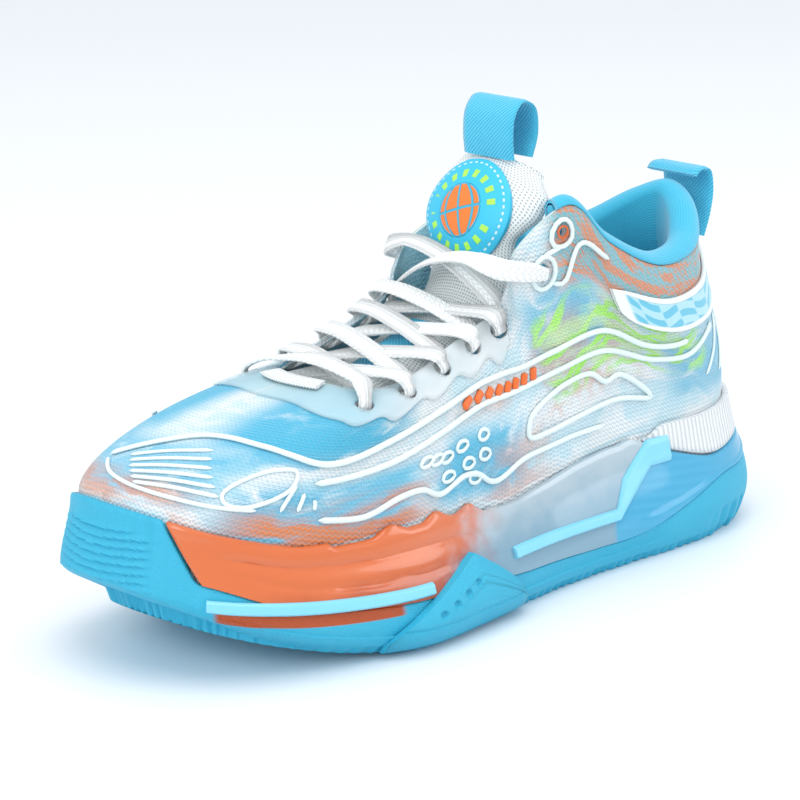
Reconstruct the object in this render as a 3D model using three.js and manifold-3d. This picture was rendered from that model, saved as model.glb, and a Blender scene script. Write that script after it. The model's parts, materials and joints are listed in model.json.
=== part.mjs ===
// Basketball high top, left shoe. Millimetres: +X runs to the toe, +Y to the outer side, +Z up.
// The shoe is lofted from stations that run once round the foot: toe tip, outer side, heel, inner side.
import * as THREE from "three";
import { mergeVertices } from "three/addons/utils/BufferGeometryUtils.js";
import Module from "manifold-3d";

const wasm = await Module();
wasm.setup();

// ---- driving dimensions ----
const LENGTH = 300; // outsole, heel to toe
const WIDTH = 108; // outsole across the ball
const HEIGHT = 135; // collar peak above the ground
const TOE_SPRING = 24; // lift of the outsole at the toe tip
const HEEL_BEVEL = 5.5; // lift of the outsole at the back of the heel
const HEEL_STACK = 27; // ground to foot bed under the heel
const BALL_STACK = 18; // ground to foot bed under the ball
const GAP = 0.3; // clearance between pieces that touch
const TREAD = 4; // outsole floor
const WALL = 2.4; // outsole wall and side cage
const KNIT = 1.5; // knit upper
const COUNTER = 1.4; // stiffeners at heel and toe
const LINING = 0.9; // lining fabric
const BOARD = 1.8; // strobel board
const SOCKLINER = 4; // removable insole
const SHANK = 1.4; // arch plate
const EYESTAY = 0.8; // film panel that carries the eyelets
const EYELET_R = 3.2; // punched lace holes
const LACE_WIDTH = 7.5;
const LACE_THICK = 1.5;
const LACE_PINCH = 4.4; // lace bunched inside a hole
const WEBBING = 1.3; // pull loops
const LOOP_WIDTH = 24;
const RIB_WIDTH = 2.6; // raised lines on the upper
const RIB_HEIGHT = 0.9;
const RIB_GAP = 0.6; // clearance under a raised line
const TONGUE_THICK = 6;
const TONGUE_DOME = 5; // fall of the tongue 20 mm off its centre line
const PATCH_R = 19.5;
const PATCH_THICK = 1.4;
const STRIPE = 1; // painted bands on the side cage
const OUTRIGGER = 3; // wing outside the ball of the foot
const AGLET_LENGTH = 18;

const { lerp, clamp, smoothstep } = THREE.MathUtils;
const V = (x, y, z) => new THREE.Vector3(x, y, z);

// ---- stations ----
// Toe tip, round the outer side, to the back of the heel. Outline x and y, rim height, foxing height and
// side cage height as shares; wall inset in mm; opening x, y, z as shares; upper handle out and up in mm;
// collar padding in mm.
const STATIONS = [
  [1.0, -0.18, 0.42, 0.11, 0.42, 3.6, 0.717, -0.04, 0.62, 40, -4, 2],
  [0.987, 0.22, 0.408, 0.11, 0.408, 3.8, 0.713, 0.18, 0.62, 38, -4, 2],
  [0.943, 0.61, 0.37, 0.12, 0.37, 5, 0.697, 0.34, 0.612, 30, -4, 2],
  [0.867, 0.85, 0.33, 0.11, 0.33, 7, 0.667, 0.45, 0.611, 20, -4, 2],
  [0.773, 0.97, 0.32, 0.125, 0.32, 8, 0.62, 0.47, 0.635, 13, -6, 2],
  [0.683, 1.0, 0.325, 0.13, 0.325, 8, 0.573, 0.45, 0.675, 10, -9, 2],
  [0.6, 0.945, 0.315, 0.12, 0.315, 8, 0.527, 0.45, 0.715, 7, -12, 2],
  [0.52, 0.87, 0.285, 0.1, 0.285, 8, 0.5, 0.49, 0.75, 5, -16, 2],
  [0.447, 0.805, 0.297, 0.092, 0.297, 8, 0.492, 0.53, 0.805, 4, -20, 2],
  [0.373, 0.77, 0.325, 0.085, 0.325, 8, 0.484, 0.58, 0.905, 3, -28, 2.4],
  [0.3, 0.76, 0.345, 0.085, 0.335, 8, 0.41, 0.65, 1.0, 2, -34, 4],
  [0.22, 0.76, 0.345, 0.125, 0.27, 8, 0.343, 0.67, 0.88, 1, -28, 6],
  [0.14, 0.72, 0.34, 0.17, 0.225, 8, 0.253, 0.65, 0.79, 1, -22, 7],
  [0.067, 0.575, 0.345, 0.175, 0.235, 8, 0.167, 0.54, 0.8, 0, -22, 8],
  [0.02, 0.33, 0.355, 0.18, 0.245, 8, 0.113, 0.28, 0.868, -1, -24, 8],
  [0.0, 0.0, 0.36, 0.185, 0.25, 8, 0.093, 0, 0.9, -2, -28, 8],
];
// The inner side has its own outline and mirrors the rest.
const INNER_Y = [-0.33, -0.575, -0.685, -0.7, -0.685, -0.685, -0.72, -0.785, -0.89, -1.0, -1.035, -0.96, -0.78, -0.52];
const INNER_DROP = 0.07;
const KEYS = [
  ...STATIONS,
  ...INNER_Y.map((y, i) => {
    const [x, , ...rest] = STATIONS[14 - i];
    rest[5] = -rest[5];
    const front = x > 0.2 ? Math.max(0, (rest[6] - 0.78) / 0.22) : 0; // the inner collar front is lower and closer
    rest[4] -= 0.045 * front;
    rest[5] *= 1 - 0.16 * front;
    rest[6] -= INNER_DROP * front;
    return [x, y, ...rest];
  }),
];
const PER_KEY = 2;
const N = KEYS.length * PER_KEY; // stations in the meshes
const U = (key) => key / KEYS.length; // a place on the way round, counted in keys from the toe tip

function keyed(u) {
  const n = KEYS.length;
  const s = (((u % 1) + 1) % 1) * n;
  const k = Math.floor(s);
  const t = s - k;
  const [a, b, c, d] = [-1, 0, 1, 2].map((j) => KEYS[(k + j + n) % n]);
  return b.map(
    (_, i) =>
      0.5 * (2 * b[i] + (c[i] - a[i]) * t + (2 * a[i] - 5 * b[i] + 4 * c[i] - d[i]) * t * t +
        (3 * b[i] - a[i] - 3 * c[i] + d[i]) * t * t * t),
  );
}
const along01 = (z, a, b) => clamp((z - a) / (b - a), 0, 1);
const toeward = (x) => Math.max(0, (x / LENGTH - 0.683) / 0.317);
const ground = (x) => TOE_SPRING * toeward(x) ** 1.7 + HEEL_BEVEL * Math.max(0, 1 - x / LENGTH / 0.1) ** 2;
const bedAt = (x) => ground(x) + lerp(HEEL_STACK, BALL_STACK, smoothstep(x / LENGTH, 0.25, 0.7));

const BUMPER = 1.3; // toe bumper, in keys each side of the toe tip
const keysOff = (u) => KEYS.length * Math.abs(u - Math.round(u));
const cache = new Map();
function station(u) {
  const id = u.toFixed(6);
  if (cache.has(id)) return cache.get(id);
  const k = keyed(u);
  const [a, b] = [keyed(u + 0.002), keyed(u - 0.002)];
  const out = V((a[1] - b[1]) * WIDTH * 0.5, (b[0] - a[0]) * LENGTH, 0).normalize();
  const x = k[0] * LENGTH;
  const s = {
    x, y: (k[1] * WIDTH) / 2, out, low: ground(x), bed: bedAt(x), rim: k[2] * HEIGHT,
    fox: keysOff(u) < BUMPER ? k[2] * HEIGHT : ground(x) + k[3] * HEIGHT, cage: k[4] * HEIGHT, inset: k[5],
    top: V(k[6] * LENGTH, (k[7] * WIDTH) / 2, k[8] * HEIGHT), handleOut: k[9], handleUp: k[10], foam: k[11],
    thin: keysOff(u) > 9.5, // cage wall thins
    raised: keysOff(u) > 10, // foam core rises inside it
    shows: keysOff(u) > 10.5 ? 1 : 0, // foam shows above it
  };
  cache.set(id, s);
  return s;
}
const edge = (s, d, z) => V(s.x + s.out.x * d, s.y + s.out.y * d, z); // d out from the outline

// Sole wall: rolls under at the ground and leans in to the rim.
function wall(s, z, lift = 0) {
  const under = 4 + 13 * toeward(s.x);
  const t = along01(z, s.low, s.rim);
  return edge(s, lift - under * (1 - along01(t, 0, 0.3)) ** 2 - s.inset * smoothstep(t, 0.25, 1), z);
}
// Inside of the outer shell: vertical beside the upper, except at the heel where foam stands between.
const shellIn = (s) => -(s.inset + WALL);

// Upper surface, out to the knit's outer face: v runs -1 at the foot bed, 0 at the rim, 1 at the opening.
function face(u, v) {
  const s = station(u);
  const foot = edge(s, shellIn(s) - GAP, s.rim);
  if (v < 0) return foot.lerp(edge(s, shellIn(s) - GAP - 1, s.bed + GAP), -v);
  const rise = s.top.z - s.rim;
  const b = foot.clone().addScaledVector(s.out, 1).add(V(0, 0, 0.4 * rise));
  const c = s.top.clone().addScaledVector(s.out, s.handleOut).add(V(0, 0, s.handleUp));
  const w = 1 - v;
  return foot.multiplyScalar(w ** 3).addScaledVector(b, 3 * w * w * v).addScaledVector(c, 3 * w * v * v)
    .addScaledVector(s.top, v ** 3);
}
function frame(u, v) {
  const e = 0.004;
  const across = face(u + e, v).sub(face(u - e, v)).normalize();
  const up = face(u, Math.min(v + 0.02, 1)).sub(face(u, Math.max(v - 0.02, -1))).normalize();
  return { at: face(u, v), across, up, out: across.clone().cross(up).normalize() };
}
function upper(u, v, lift = 0, rise = 0) {
  const f = frame(u, v);
  return f.at.addScaledVector(f.out, lift).addScaledVector(f.up, rise);
}

// ---- solids ----
// Skin a list of closed loops. Capped at both ends, or joined last to first.
function loft(loops, ring = false) {
  const m = loops[0].length;
  const index = [];
  for (let i = 0; i < loops.length - (ring ? 0 : 1); i++) {
    for (let j = 0; j < m; j++) {
      const [a, b] = [i * m, ((i + 1) % loops.length) * m];
      const k = (j + 1) % m;
      index.push(a + j, a + k, b + k, a + j, b + k, b + j);
    }
  }
  if (!ring) {
    for (let j = 0; j < m / 2 - 1; j++) {
      const q = [j, j + 1, m - 2 - j, m - 1 - j];
      for (const [base, flip] of [[0, 1], [(loops.length - 1) * m, 0]]) {
        const [p0, p1, p2, p3] = q.map((x) => x + base);
        index.push(...(flip ? [p0, p2, p1] : [p0, p1, p2]));
        if (p2 !== p1) index.push(...(flip ? [p0, p3, p2] : [p0, p2, p3]));
      }
    }
  }
  const g = new THREE.BufferGeometry();
  g.setAttribute("position", new THREE.Float32BufferAttribute(loops.flat().flatMap((p) => [p.x, p.y, p.z]), 3));
  g.setIndex(index);
  return outward(g);
}
function outward(g) {
  const p = g.attributes.position;
  const [a, b, c] = [V(), V(), V()];
  let six = 0;
  for (let i = 0; i < g.index.count; i += 3) {
    [a, b, c].forEach((v, j) => v.fromBufferAttribute(p, g.index.getX(i + j)));
    six += a.dot(b.cross(c));
  }
  if (six < 0) g.index.array.reverse();
  return g;
}
const toSolid = (g) => {
  const m = mergeVertices(g.deleteAttribute("normal").deleteAttribute("uv"), 1e-4);
  return new wasm.Manifold(
    new wasm.Mesh({ numProp: 3, vertProperties: new Float32Array(m.attributes.position.array),
      triVerts: new Uint32Array(m.index.array) }),
  );
};
function fromSolid(solid) {
  const m = solid.getMesh();
  const g = new THREE.BufferGeometry();
  g.setAttribute("position", new THREE.Float32BufferAttribute(m.vertProperties, 3));
  g.setIndex(Array.from(m.triVerts));
  return g;
}
const join = (list) => fromSolid(list.map(toSolid).reduce((a, b) => a.add(b)));
const cut = (g, tools) => fromSolid(tools.map(toSolid).reduce((a, b) => a.subtract(b), toSolid(g)));

// ---- pieces ----
const shoe = new THREE.Group();
shoe.name = "basketball_high_top";
const model = new THREE.Group();
shoe.add(model);
function piece(name, geometry, color, roughness = 0.6) {
  const plain = mergeVertices(geometry.deleteAttribute("normal").deleteAttribute("uv"), 1e-3);
  plain.computeVertexNormals();
  const material = new THREE.MeshStandardMaterial({ color, roughness, metalness: 0 });
  const mesh = new THREE.Mesh(plain, material);
  mesh.name = name;
  model.add(mesh);
}
const CYAN = 0x2fb4dc;
const WHITE = 0xeef2f2;
const ORANGE = 0xe8652a;
const LIGHT_CYAN = 0x74d2ec;

const stations = Array.from({ length: N }, (_, i) => (i + 0.5) / N);
const ringOf = (fn) => stations.map((u) => fn(station(u), u));
const onGround = (p, lift = 0) => p.setZ(ground(p.x) + lift);

// Outsole: a cup with a tall toe bumper, low foxing along the sides and a heel wrap.
const tall = (s) => s.fox > s.bed + 1.5;
const foxInside = (s, z) => (tall(s) && z > s.bed ? edge(s, shellIn(s), z) : wall(s, z, -WALL));
const coreZ = (s, t) => lerp(s.low + TREAD, Math.min(s.fox - 0.5, s.bed), t); // rows shared with the foam core
piece("outsole", loft([
  ringOf((s) => onGround(wall(s, s.low))),
  ...[0.12, 0.35, 0.7, 1].map((t) => ringOf((s) => wall(s, lerp(s.low, s.fox, t)))),
  ringOf((s) => foxInside(s, s.fox)),
  ringOf((s) => foxInside(s, tall(s) ? s.bed + 0.8 : s.fox - 0.3)),
  ringOf((s) => wall(s, tall(s) ? s.bed + 0.7 : s.fox - 0.4, -WALL)),
  ...[0.8, 0.5, 0.2, 0].map((t) => ringOf((s) => wall(s, coreZ(s, t), -WALL))),
]), CYAN, 0.7);

// Midsole: foam core whose lip shows above the cage at the heel.
const foamStep = (s) => (s.raised ? s.cage + GAP : s.bed);
const lip = (s) => (s.shows ? s.rim : foamStep(s) + 0.4);
const coreIn = (s) => -WALL - GAP - 0.25 - 2 * smoothstep(toeward(s.x), 0.4, 0.8);
const midsole = loft([
  ringOf((s) => wall(s, s.low + TREAD + GAP, coreIn(s))),
  ...[0.2, 0.5, 0.8].map((t) => ringOf((s) => wall(s, coreZ(s, t), coreIn(s)))),
  ...[0.4, 0.75, 1].map((t) => ringOf((s) => wall(s, lerp(coreZ(s, 0.8), foamStep(s), t), coreIn(s)))),
  ringOf((s) => wall(s, foamStep(s) + 0.2, s.shows ? -0.4 : coreIn(s))),
  ringOf((s) => wall(s, lerp(foamStep(s) + 0.2, lip(s), 0.5), s.shows ? 0.4 : coreIn(s))),
  ringOf((s) => wall(s, lip(s), s.shows ? -0.4 : coreIn(s))),
  ringOf((s) => edge(s, shellIn(s), lip(s))),
  ringOf((s) => edge(s, shellIn(s), s.bed)),
]);
const SHANK_X = [0.32, 0.58]; // along the arch
const SHANK_Y = 15;
const shankLoop = (grow, z) => [
  V(SHANK_X[0] * LENGTH - grow, SHANK_Y + grow, z), V(SHANK_X[1] * LENGTH + grow, SHANK_Y + grow, z),
  V(SHANK_X[1] * LENGTH + grow, -SHANK_Y - grow, z), V(SHANK_X[0] * LENGTH - grow, -SHANK_Y - grow, z),
];
const shankLow = TREAD + GAP;
piece("midsole", cut(midsole, [loft([shankLoop(GAP, shankLow - 1), shankLoop(GAP, shankLow + SHANK + GAP)])]),
  WHITE, 0.85);
piece("shank_plate", loft([shankLoop(0, shankLow), shankLoop(0, shankLow + SHANK)]), 0x303438, 0.35);

// Side cage: starts behind the toe bumper and runs round the heel.
const PEAKS = [4.55, 5.45, 6.2]; // crests in the cage's top edge, in keys
const WAVE = 3;
function cageTop(s, u) {
  const key = u > 0.5 ? KEYS.length * (1 - u) : KEYS.length * u;
  const near = Math.min(...PEAKS.map((p) => Math.abs(key - p)));
  const dip = key > 3.6 && key < 6.6 ? WAVE * Math.min(1, near / 0.3) : WAVE * (key < 3.6 ? 0.5 : 0.8) * (s.raised ? 0 : 1);
  return s.cage - dip * along01(key, 2.6, 3.2);
}
function cageSection(u, slant) {
  const s0 = station(u);
  const lean = (z) => station(u - slant * along01(z, s0.fox, s0.rim));
  const s = (z) => (slant ? { ...lean(z), fox: s0.fox } : s0);
  const top = cageTop(s0, u);
  const low = s0.fox + GAP;
  const mid = Math.max(s0.bed + 0.7, low + 1);
  const inside = (z) => {
    const q = s(z);
    return s0.thin ? wallOffset(q, z) - WALL : shellIn(q) + (slant ? 0.8 : 0);
  };
  const outer = [0, 0.2, 0.45, 0.7, 0.9, 1].map((t) => wall(s(lerp(low, top, t)), lerp(low, top, t)));
  const inner = [
    edge(s(top), inside(top), top),
    edge(s(mid + 0.5), inside(mid + 0.5), mid + 0.5),
    edge(s(mid), Math.min(inside(mid), wallOffset(s(mid), mid) - WALL - 0.4), mid),
    wall(s(mid - 0.1), mid - 0.1, -WALL),
    wall(s(lerp(low, mid, 0.4)), lerp(low, mid, 0.4), -WALL),
    wall(s(low), low, -WALL),
  ];
  return [...outer, ...inner];
}
function wallOffset(s, z) {
  const p = wall(s, z);
  return (p.x - s.x) * s.out.x + (p.y - s.y) * s.out.y;
}
const cageStations = stations.filter((u) => keysOff(u) > BUMPER);
const SLIT = 0.15 / N; // between the bumper and the cage
const SLANT = 0.95 / N; // the cage's front edge leans to follow the bumper
piece("side_cage", loft([
  cageSection(cageStations[0] + SLIT, SLANT), cageSection(cageStations[0] + 0.5 / N, SLANT / 2),
  ...cageStations.slice(1, -1).map((u) => cageSection(u, 0)),
  cageSection(cageStations.at(-1) - 0.5 / N, -SLANT / 2), cageSection(cageStations.at(-1) - SLIT, -SLANT),
]), 0x8fb4c6, 0.25);


// A band that lies on the sole wall between two heights.
const onWall = (list, low, high, lift) =>
  loft(list.map((u) => {
    const s = station(u);
    const [a, b] = [low(s, u), high(s, u)];
    const m = (a + b) / 2;
    return [wall(s, a, GAP + 0.15), wall(s, a, GAP + lift), wall(s, m, GAP + lift), wall(s, b, GAP + lift),
      wall(s, b, GAP + 0.15), wall(s, m, GAP + 0.15)];
  }));
const span = (from, to, count) => Array.from({ length: count + 1 }, (_, i) => lerp(from, to, i / count));
const STRIPE_LOW = 19;
const STRIPE_HEIGHT = 4;
const STRIPE_BEND = 0.335; // where it turns up to the collar, share of length from the heel
const stripeLow = (s) => STRIPE_LOW + 0.4 * s.low + 15 * along01(STRIPE_BEND - s.x / LENGTH, 0, 0.07);
const bent = (s) => STRIPE_HEIGHT + 5 * along01(STRIPE_BEND - s.x / LENGTH, 0, 0.02);
const stripe = (name, from, to, count) =>
  piece(name, onWall(span(U(from), U(to), count), stripeLow, (s) => stripeLow(s) + bent(s), STRIPE), LIGHT_CYAN, 0.4);
stripe("outer_front_stripe", 1.9, 5.0, 12);
stripe("outer_rear_stripe", 6.9, 10.9, 18);
stripe("inner_stripe", 30 - 1.9, 30 - 10.9, 36);

// Outrigger: the ribbed wing outside the ball of the foot.
const WING = [4.25, 5.9, 7.05]; // front, peak, rear, in keys
const WING_PEAK = 27;
const WING_LOW = 2.5;
const wingTop = (s, u) => {
  const key = u * KEYS.length;
  const t = key < WING[1] ? along01(key, WING[0], WING[1]) : 1 - along01(key, WING[1], WING[2]);
  return lerp(WING_LOW + 3, WING_PEAK, t ** 0.65);
};
piece("outrigger", loft(span(U(WING[0]), U(WING[2]), 16).map((u) => {
  const s = station(u);
  const h = wingTop(s, u);
  const t = [0, 0.2, 0.5, 0.8, 1].map((q) => lerp(WING_LOW, h, q));
  const bulge = (q) => 0.8 + (OUTRIGGER - 0.8) * Math.sin(Math.PI * clamp(0.15 + q * 0.8, 0, 1));
  return [...t.map((z, i) => wall(s, z, GAP + bulge([0, 0.2, 0.5, 0.8, 1][i]))), ...t.reverse().map((z) => wall(s, z, GAP + 0.2))];
})), CYAN, 0.7);

// ---- upper ----
const ROWS = [-1, 0, 0.13, 0.27, 0.41, 0.56, 0.71, 0.86, 1];
const ringAt = (v, lift) => stations.map((u) => upper(u, v, lift));
// Lace holes as key, v and the key where the lace crosses the throat edge. The last is the collar ring.
const EYELETS = [[2.4, 0.86, 2.4], [3.55, 0.88, 3.55], [4.7, 0.88, 4.7], [5.75, 0.88, 5.75], [6.95, 0.88, 6.95],
  [9.4, 0.82, 8.6]];
const GROMMET = [9.8, 0.92]; // spare hole below the collar peak
const GROMMET_R = 1.7;
const SIDES = [["outer", 1], ["inner", -1]];
const keyU = (key, side) => U(side > 0 ? key : KEYS.length - key);
const drill = (f, r, depth = 30) => {
  const g = new THREE.CylinderGeometry(r, r, depth, 14);
  g.applyQuaternion(new THREE.Quaternion().setFromUnitVectors(V(0, 1, 0), f.out));
  return g.translate(f.at.x, f.at.y, f.at.z);
};
const holeFrames = SIDES.flatMap(([, side]) => EYELETS.map(([key, v]) => frame(keyU(key, side), v)));
const grommets = SIDES.map(([, side]) => frame(keyU(GROMMET[0], side), GROMMET[1]));
const holes = () => [...holeFrames.map((f) => drill(f, EYELET_R)), ...grommets.map((f) => drill(f, GROMMET_R))];
const knit = loft([...ROWS.map((v) => ringAt(v, 0)), ...[...ROWS].reverse().map((v) => ringAt(v, -KNIT))], true);
piece("knit_upper", cut(knit, holes()), 0xcfe6ee, 0.9);

// A shaped patch of the upper between two lifts. rows(u) lists v from low to high.
const patch = (list, rows, from, to) =>
  loft(list.map((u) => [...rows(u).map((v) => upper(u, v, to)), ...rows(u).reverse().map((v) => upper(u, v, from))]));
const between = (a, b) => Array.from({ length: b - a + 1 }, (_, i) => (a + i + 0.5) / N);
const HEEL = N / 2;
piece("heel_counter", patch(between(HEEL - 5 * PER_KEY, HEEL + 5 * PER_KEY - 1), () => [...ROWS.slice(0, 5)].map((v) => Math.max(v, -0.9)),
  -KNIT - GAP, -KNIT - GAP - COUNTER), 0xb9b2a4, 0.6);
piece("toe_puff", patch(between(-2 * PER_KEY - 1, 2 * PER_KEY), () => [...ROWS.slice(0, 5)].map((v) => Math.max(v, -0.9)),
  -KNIT - GAP, -KNIT - GAP - COUNTER), 0xb9b2a4, 0.6);

const insideBed = (s, d) => shellIn(s) - GAP - 1 - KNIT - GAP - COUNTER - GAP - d;
const plate = (inset, low, high) => loft([low, high].map((h) => ringOf((s) => edge(s, insideBed(s, inset), s.bed + h))));
piece("strobel_board", plate(0.6, GAP, GAP + BOARD), 0xe7e2d6, 0.95);
piece("sockliner", plate(2, 2 * GAP + BOARD, 2 * GAP + BOARD + SOCKLINER), 0x3a5f73, 0.9);

// Collar: foam between the knit and a lining that rolls over the edge.
const COLLAR_FROM = 19;
const collar = between(COLLAR_FROM, N - 1 - COLLAR_FROM);
const COLLAR_ROWS = [0.44, ...ROWS.slice(5)];
const pad = (u, v) => Math.max(0.8, station(u).foam * (0.35 + 0.65 * smoothstep(v, 0.41, 0.8)));
const ARC = [0, 0.2, 0.4, 0.6, 0.8, 1].map((t) => Math.PI * t);
function roll(u, outerLift, thickness, rise) {
  const r = thickness / 2;
  return ARC.map((a) => upper(u, 1, outerLift - r + r * Math.cos(a), rise + 0.9 * r * Math.sin(a)));
}
const down = [...COLLAR_ROWS].reverse();
piece("collar_foam", cut(loft(collar.map((u) => [
  ...COLLAR_ROWS.slice(0, -1).map((v) => upper(u, v, -KNIT - GAP)),
  ...roll(u, -KNIT - GAP, pad(u, 1), 0),
  ...down.slice(1).map((v) => upper(u, v, -KNIT - GAP - pad(u, v))),
])), holes()), 0xe9dc9a, 0.95);
const liningDepth = (u, v) => KNIT + GAP + pad(u, v) + GAP + LINING;
piece("collar_lining", cut(loft(collar.map((u) => [
  ...roll(u, 0, liningDepth(u, 1), GAP),
  ...down.slice(1).map((v) => upper(u, v, -liningDepth(u, v))),
  ...COLLAR_ROWS.slice(0, -1).map((v) => upper(u, v, -liningDepth(u, v) + LINING)),
  ...roll(u, -LINING, liningDepth(u, 1) - 2 * LINING, GAP).reverse(),
])), holes()), 0x2fa9d2, 0.85);

// Eyestay: film round the throat with a scalloped lower edge.
const EYESTAY_END = 7.5;
const SCALLOP = 0.035;
const STAY_GAP = 0.45 * (WIDTH / 108); // a wider vamp curves more between stations
const stayEdge = (u) => {
  const key = keysOff(u);
  return 0.85 - 0.14 * smoothstep(key, 0.5, 3) + SCALLOP * Math.cos((key - 3) * 2 * Math.PI / 1.1) * along01(key, 2, 3);
};
const stay = stations.filter((u) => keysOff(u) < EYESTAY_END);
const stayList = [...stay.filter((u) => u > 0.5).map((u) => u - 1), ...stay.filter((u) => u < 0.5)];
piece("eyestay_panel", cut(patch(stayList, (u) => [0, 0.35, 0.7, 1].map((t) => lerp(stayEdge(u), 1, t)),
  STAY_GAP, STAY_GAP + EYESTAY), holes()),
  0xdff1f3, 0.35);
piece("throat_bar", patch(span(U(-1.1), U(1.1), 6), () => [0.93, 0.96, 0.99], STAY_GAP + EYESTAY + GAP,
  STAY_GAP + EYESTAY + GAP + 0.8),
  WHITE, 0.9);

// ---- raised lines ----
// Points are key and v; the line is smoothed through them and swept over the knit.
const KEY_MM = 18;
const V_MM = 60;
function ribbon(side, points, { width = RIB_WIDTH, lift = RIB_GAP, height = RIB_HEIGHT, closed = false, step = 5.5 } = {}) {
  const curve = new THREE.CatmullRomCurve3(points.map(([k, v]) => V(k * KEY_MM, v * V_MM, 0)), closed, "centripetal");
  const count = Math.max(8, Math.ceil(curve.getLength() / step));
  const at = curve.getSpacedPoints(count).slice(0, closed ? count : count + 1)
    .map((p) => [keyU(p.x / KEY_MM, side), p.y / V_MM]);
  const places = at.map(([u, v]) => frame(u, v));
  const n = places.length;
  return loft(places.map((f, i) => {
    const next = places[closed ? (i + 1) % n : Math.min(i + 1, n - 1)].at;
    const last = places[closed ? (i + n - 1) % n : Math.max(i - 1, 0)].at;
    const sideways = next.clone().sub(last).cross(f.out).normalize();
    const p = (w, h) => f.at.clone().addScaledVector(sideways, w * width).addScaledVector(f.out, lift + h * height);
    return [p(-0.5, 0), p(0.5, 0), p(0.3, 1), p(-0.3, 1)];
  }), closed);
}
function circle(key, v, side, r, count = 10) {
  const f = frame(keyU(key, side), v);
  const perKey = face(keyU(key + 0.1, side), v).distanceTo(f.at) * 10;
  const perV = face(keyU(key, side), v - 0.05).distanceTo(f.at) * 20;
  return Array.from({ length: count }, (_, i) => {
    const a = (2 * Math.PI * i) / count;
    return [key + (r * Math.cos(a)) / perKey, v + (r * Math.sin(a)) / perV];
  });
}
const LINES = {
  upper_line: [[1.55, 0.56], [2.85, 0.47], [3.85, 0.53], [5.1, 0.58], [6.9, 0.62], [7.9, 0.57], [8.8, 0.51], [9.6, 0.47],
    [10.3, 0.45], [11.2, 0.43], [12.1, 0.48]],
  lower_line: [[2.9, 0.36], [4.25, 0.38], [5.35, 0.44], [6.7, 0.5], [8, 0.46], [8.85, 0.41], [9.75, 0.37], [10.4, 0.34],
    [11.2, 0.34], [12, 0.38], [13, 0.5]],
  wave_line: [[3.4, 0.13], [4.1, 0.09], [4.65, 0.14], [5.1, 0.14], [5.55, 0.08], [6.05, 0.14], [6.4, 0.14], [6.8, 0.09],
    [7.6, 0.13], [8.6, 0.1], [9.6, 0.06]],
};
const TOE_REACH = [[-0.6, 0.33], [0, 0.47], [0.6, 0.57]]; // the outer line starts across the toe
const CLOUD = [[7.9, 0.3], [8.7, 0.33], [9.5, 0.3], [9.75, 0.23], [10.1, 0.24], [10.7, 0.13], [9.9, 0.14], [8.3, 0.18], [7.8, 0.22]];
const ZIGZAG = [[9.65, 0.73], [10.1, 0.86], [10.9, 0.92]];
const RING_R = 5.4;
for (const [name, side] of SIDES) {
  for (const [line, points] of Object.entries(LINES)) {
    const reach = side > 0 && line === "upper_line" ? TOE_REACH : [];
    const lift = line === "upper_line" ? RIB_GAP + 0.4 : RIB_GAP;
    piece(`${name}_${line}`, ribbon(side, [...reach, ...points], { lift }), WHITE, 0.45);
  }
  piece(`${name}_cloud_line`, ribbon(side, CLOUD, { closed: true, step: 4.5 }), WHITE, 0.45);
  const eye = EYELETS.at(-1);
  const ride = { lift: side > 0 ? RIB_GAP : RIB_GAP + 1.1 }; // the inner collar folds more tightly
  const lower = circle(eye[0], eye[1], side, RING_R);
  const top = circle(GROMMET[0], GROMMET[1] - 0.005, side, 4.6);
  piece(`${name}_collar_ring`, join([
    ribbon(side, lower, { ...ride, closed: true, step: 3.4 }), ribbon(side, top, { ...ride, closed: true, step: 3 }),
    ribbon(side, [lower[2], [lerp(lower[2][0], top[7][0], 0.5), lerp(lower[2][1], top[7][1], 0.5)], top[7]], ride),
    ribbon(side, [lower[8], ...ZIGZAG], ride),
  ]), WHITE, 0.45);
  const f = grommets[side > 0 ? 0 : 1];
  const tube = new THREE.TorusGeometry(2.1, 0.45, 6, 12);
  tube.applyQuaternion(new THREE.Quaternion().setFromUnitVectors(V(0, 0, 1), f.out));
  const centre = f.at.clone().addScaledVector(f.out, GAP + 0.75);
  piece(`${name}_grommet`, tube.translate(centre.x, centre.y, centre.z), ORANGE, 0.5);
}
const BADGE = { from: 10.7, low: 0.56, high: 0.8, taper: 0.9 };
piece("heel_badge", patch(span(U(BADGE.from), U(KEYS.length - BADGE.from), 22), (u) => {
  const end = Math.sqrt(1 - (1 - along01(Math.min(u, 1 - u) * KEYS.length, BADGE.from - 0.15, BADGE.from + BADGE.taper)) ** 2);
  const mid = (BADGE.low + BADGE.high) / 2;
  const half = ((BADGE.high - BADGE.low) / 2) * end;
  return [mid - half, mid - half / 2, mid + half / 2, mid + half];
}, RIB_GAP, RIB_GAP + 1), WHITE, 0.5);

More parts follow.
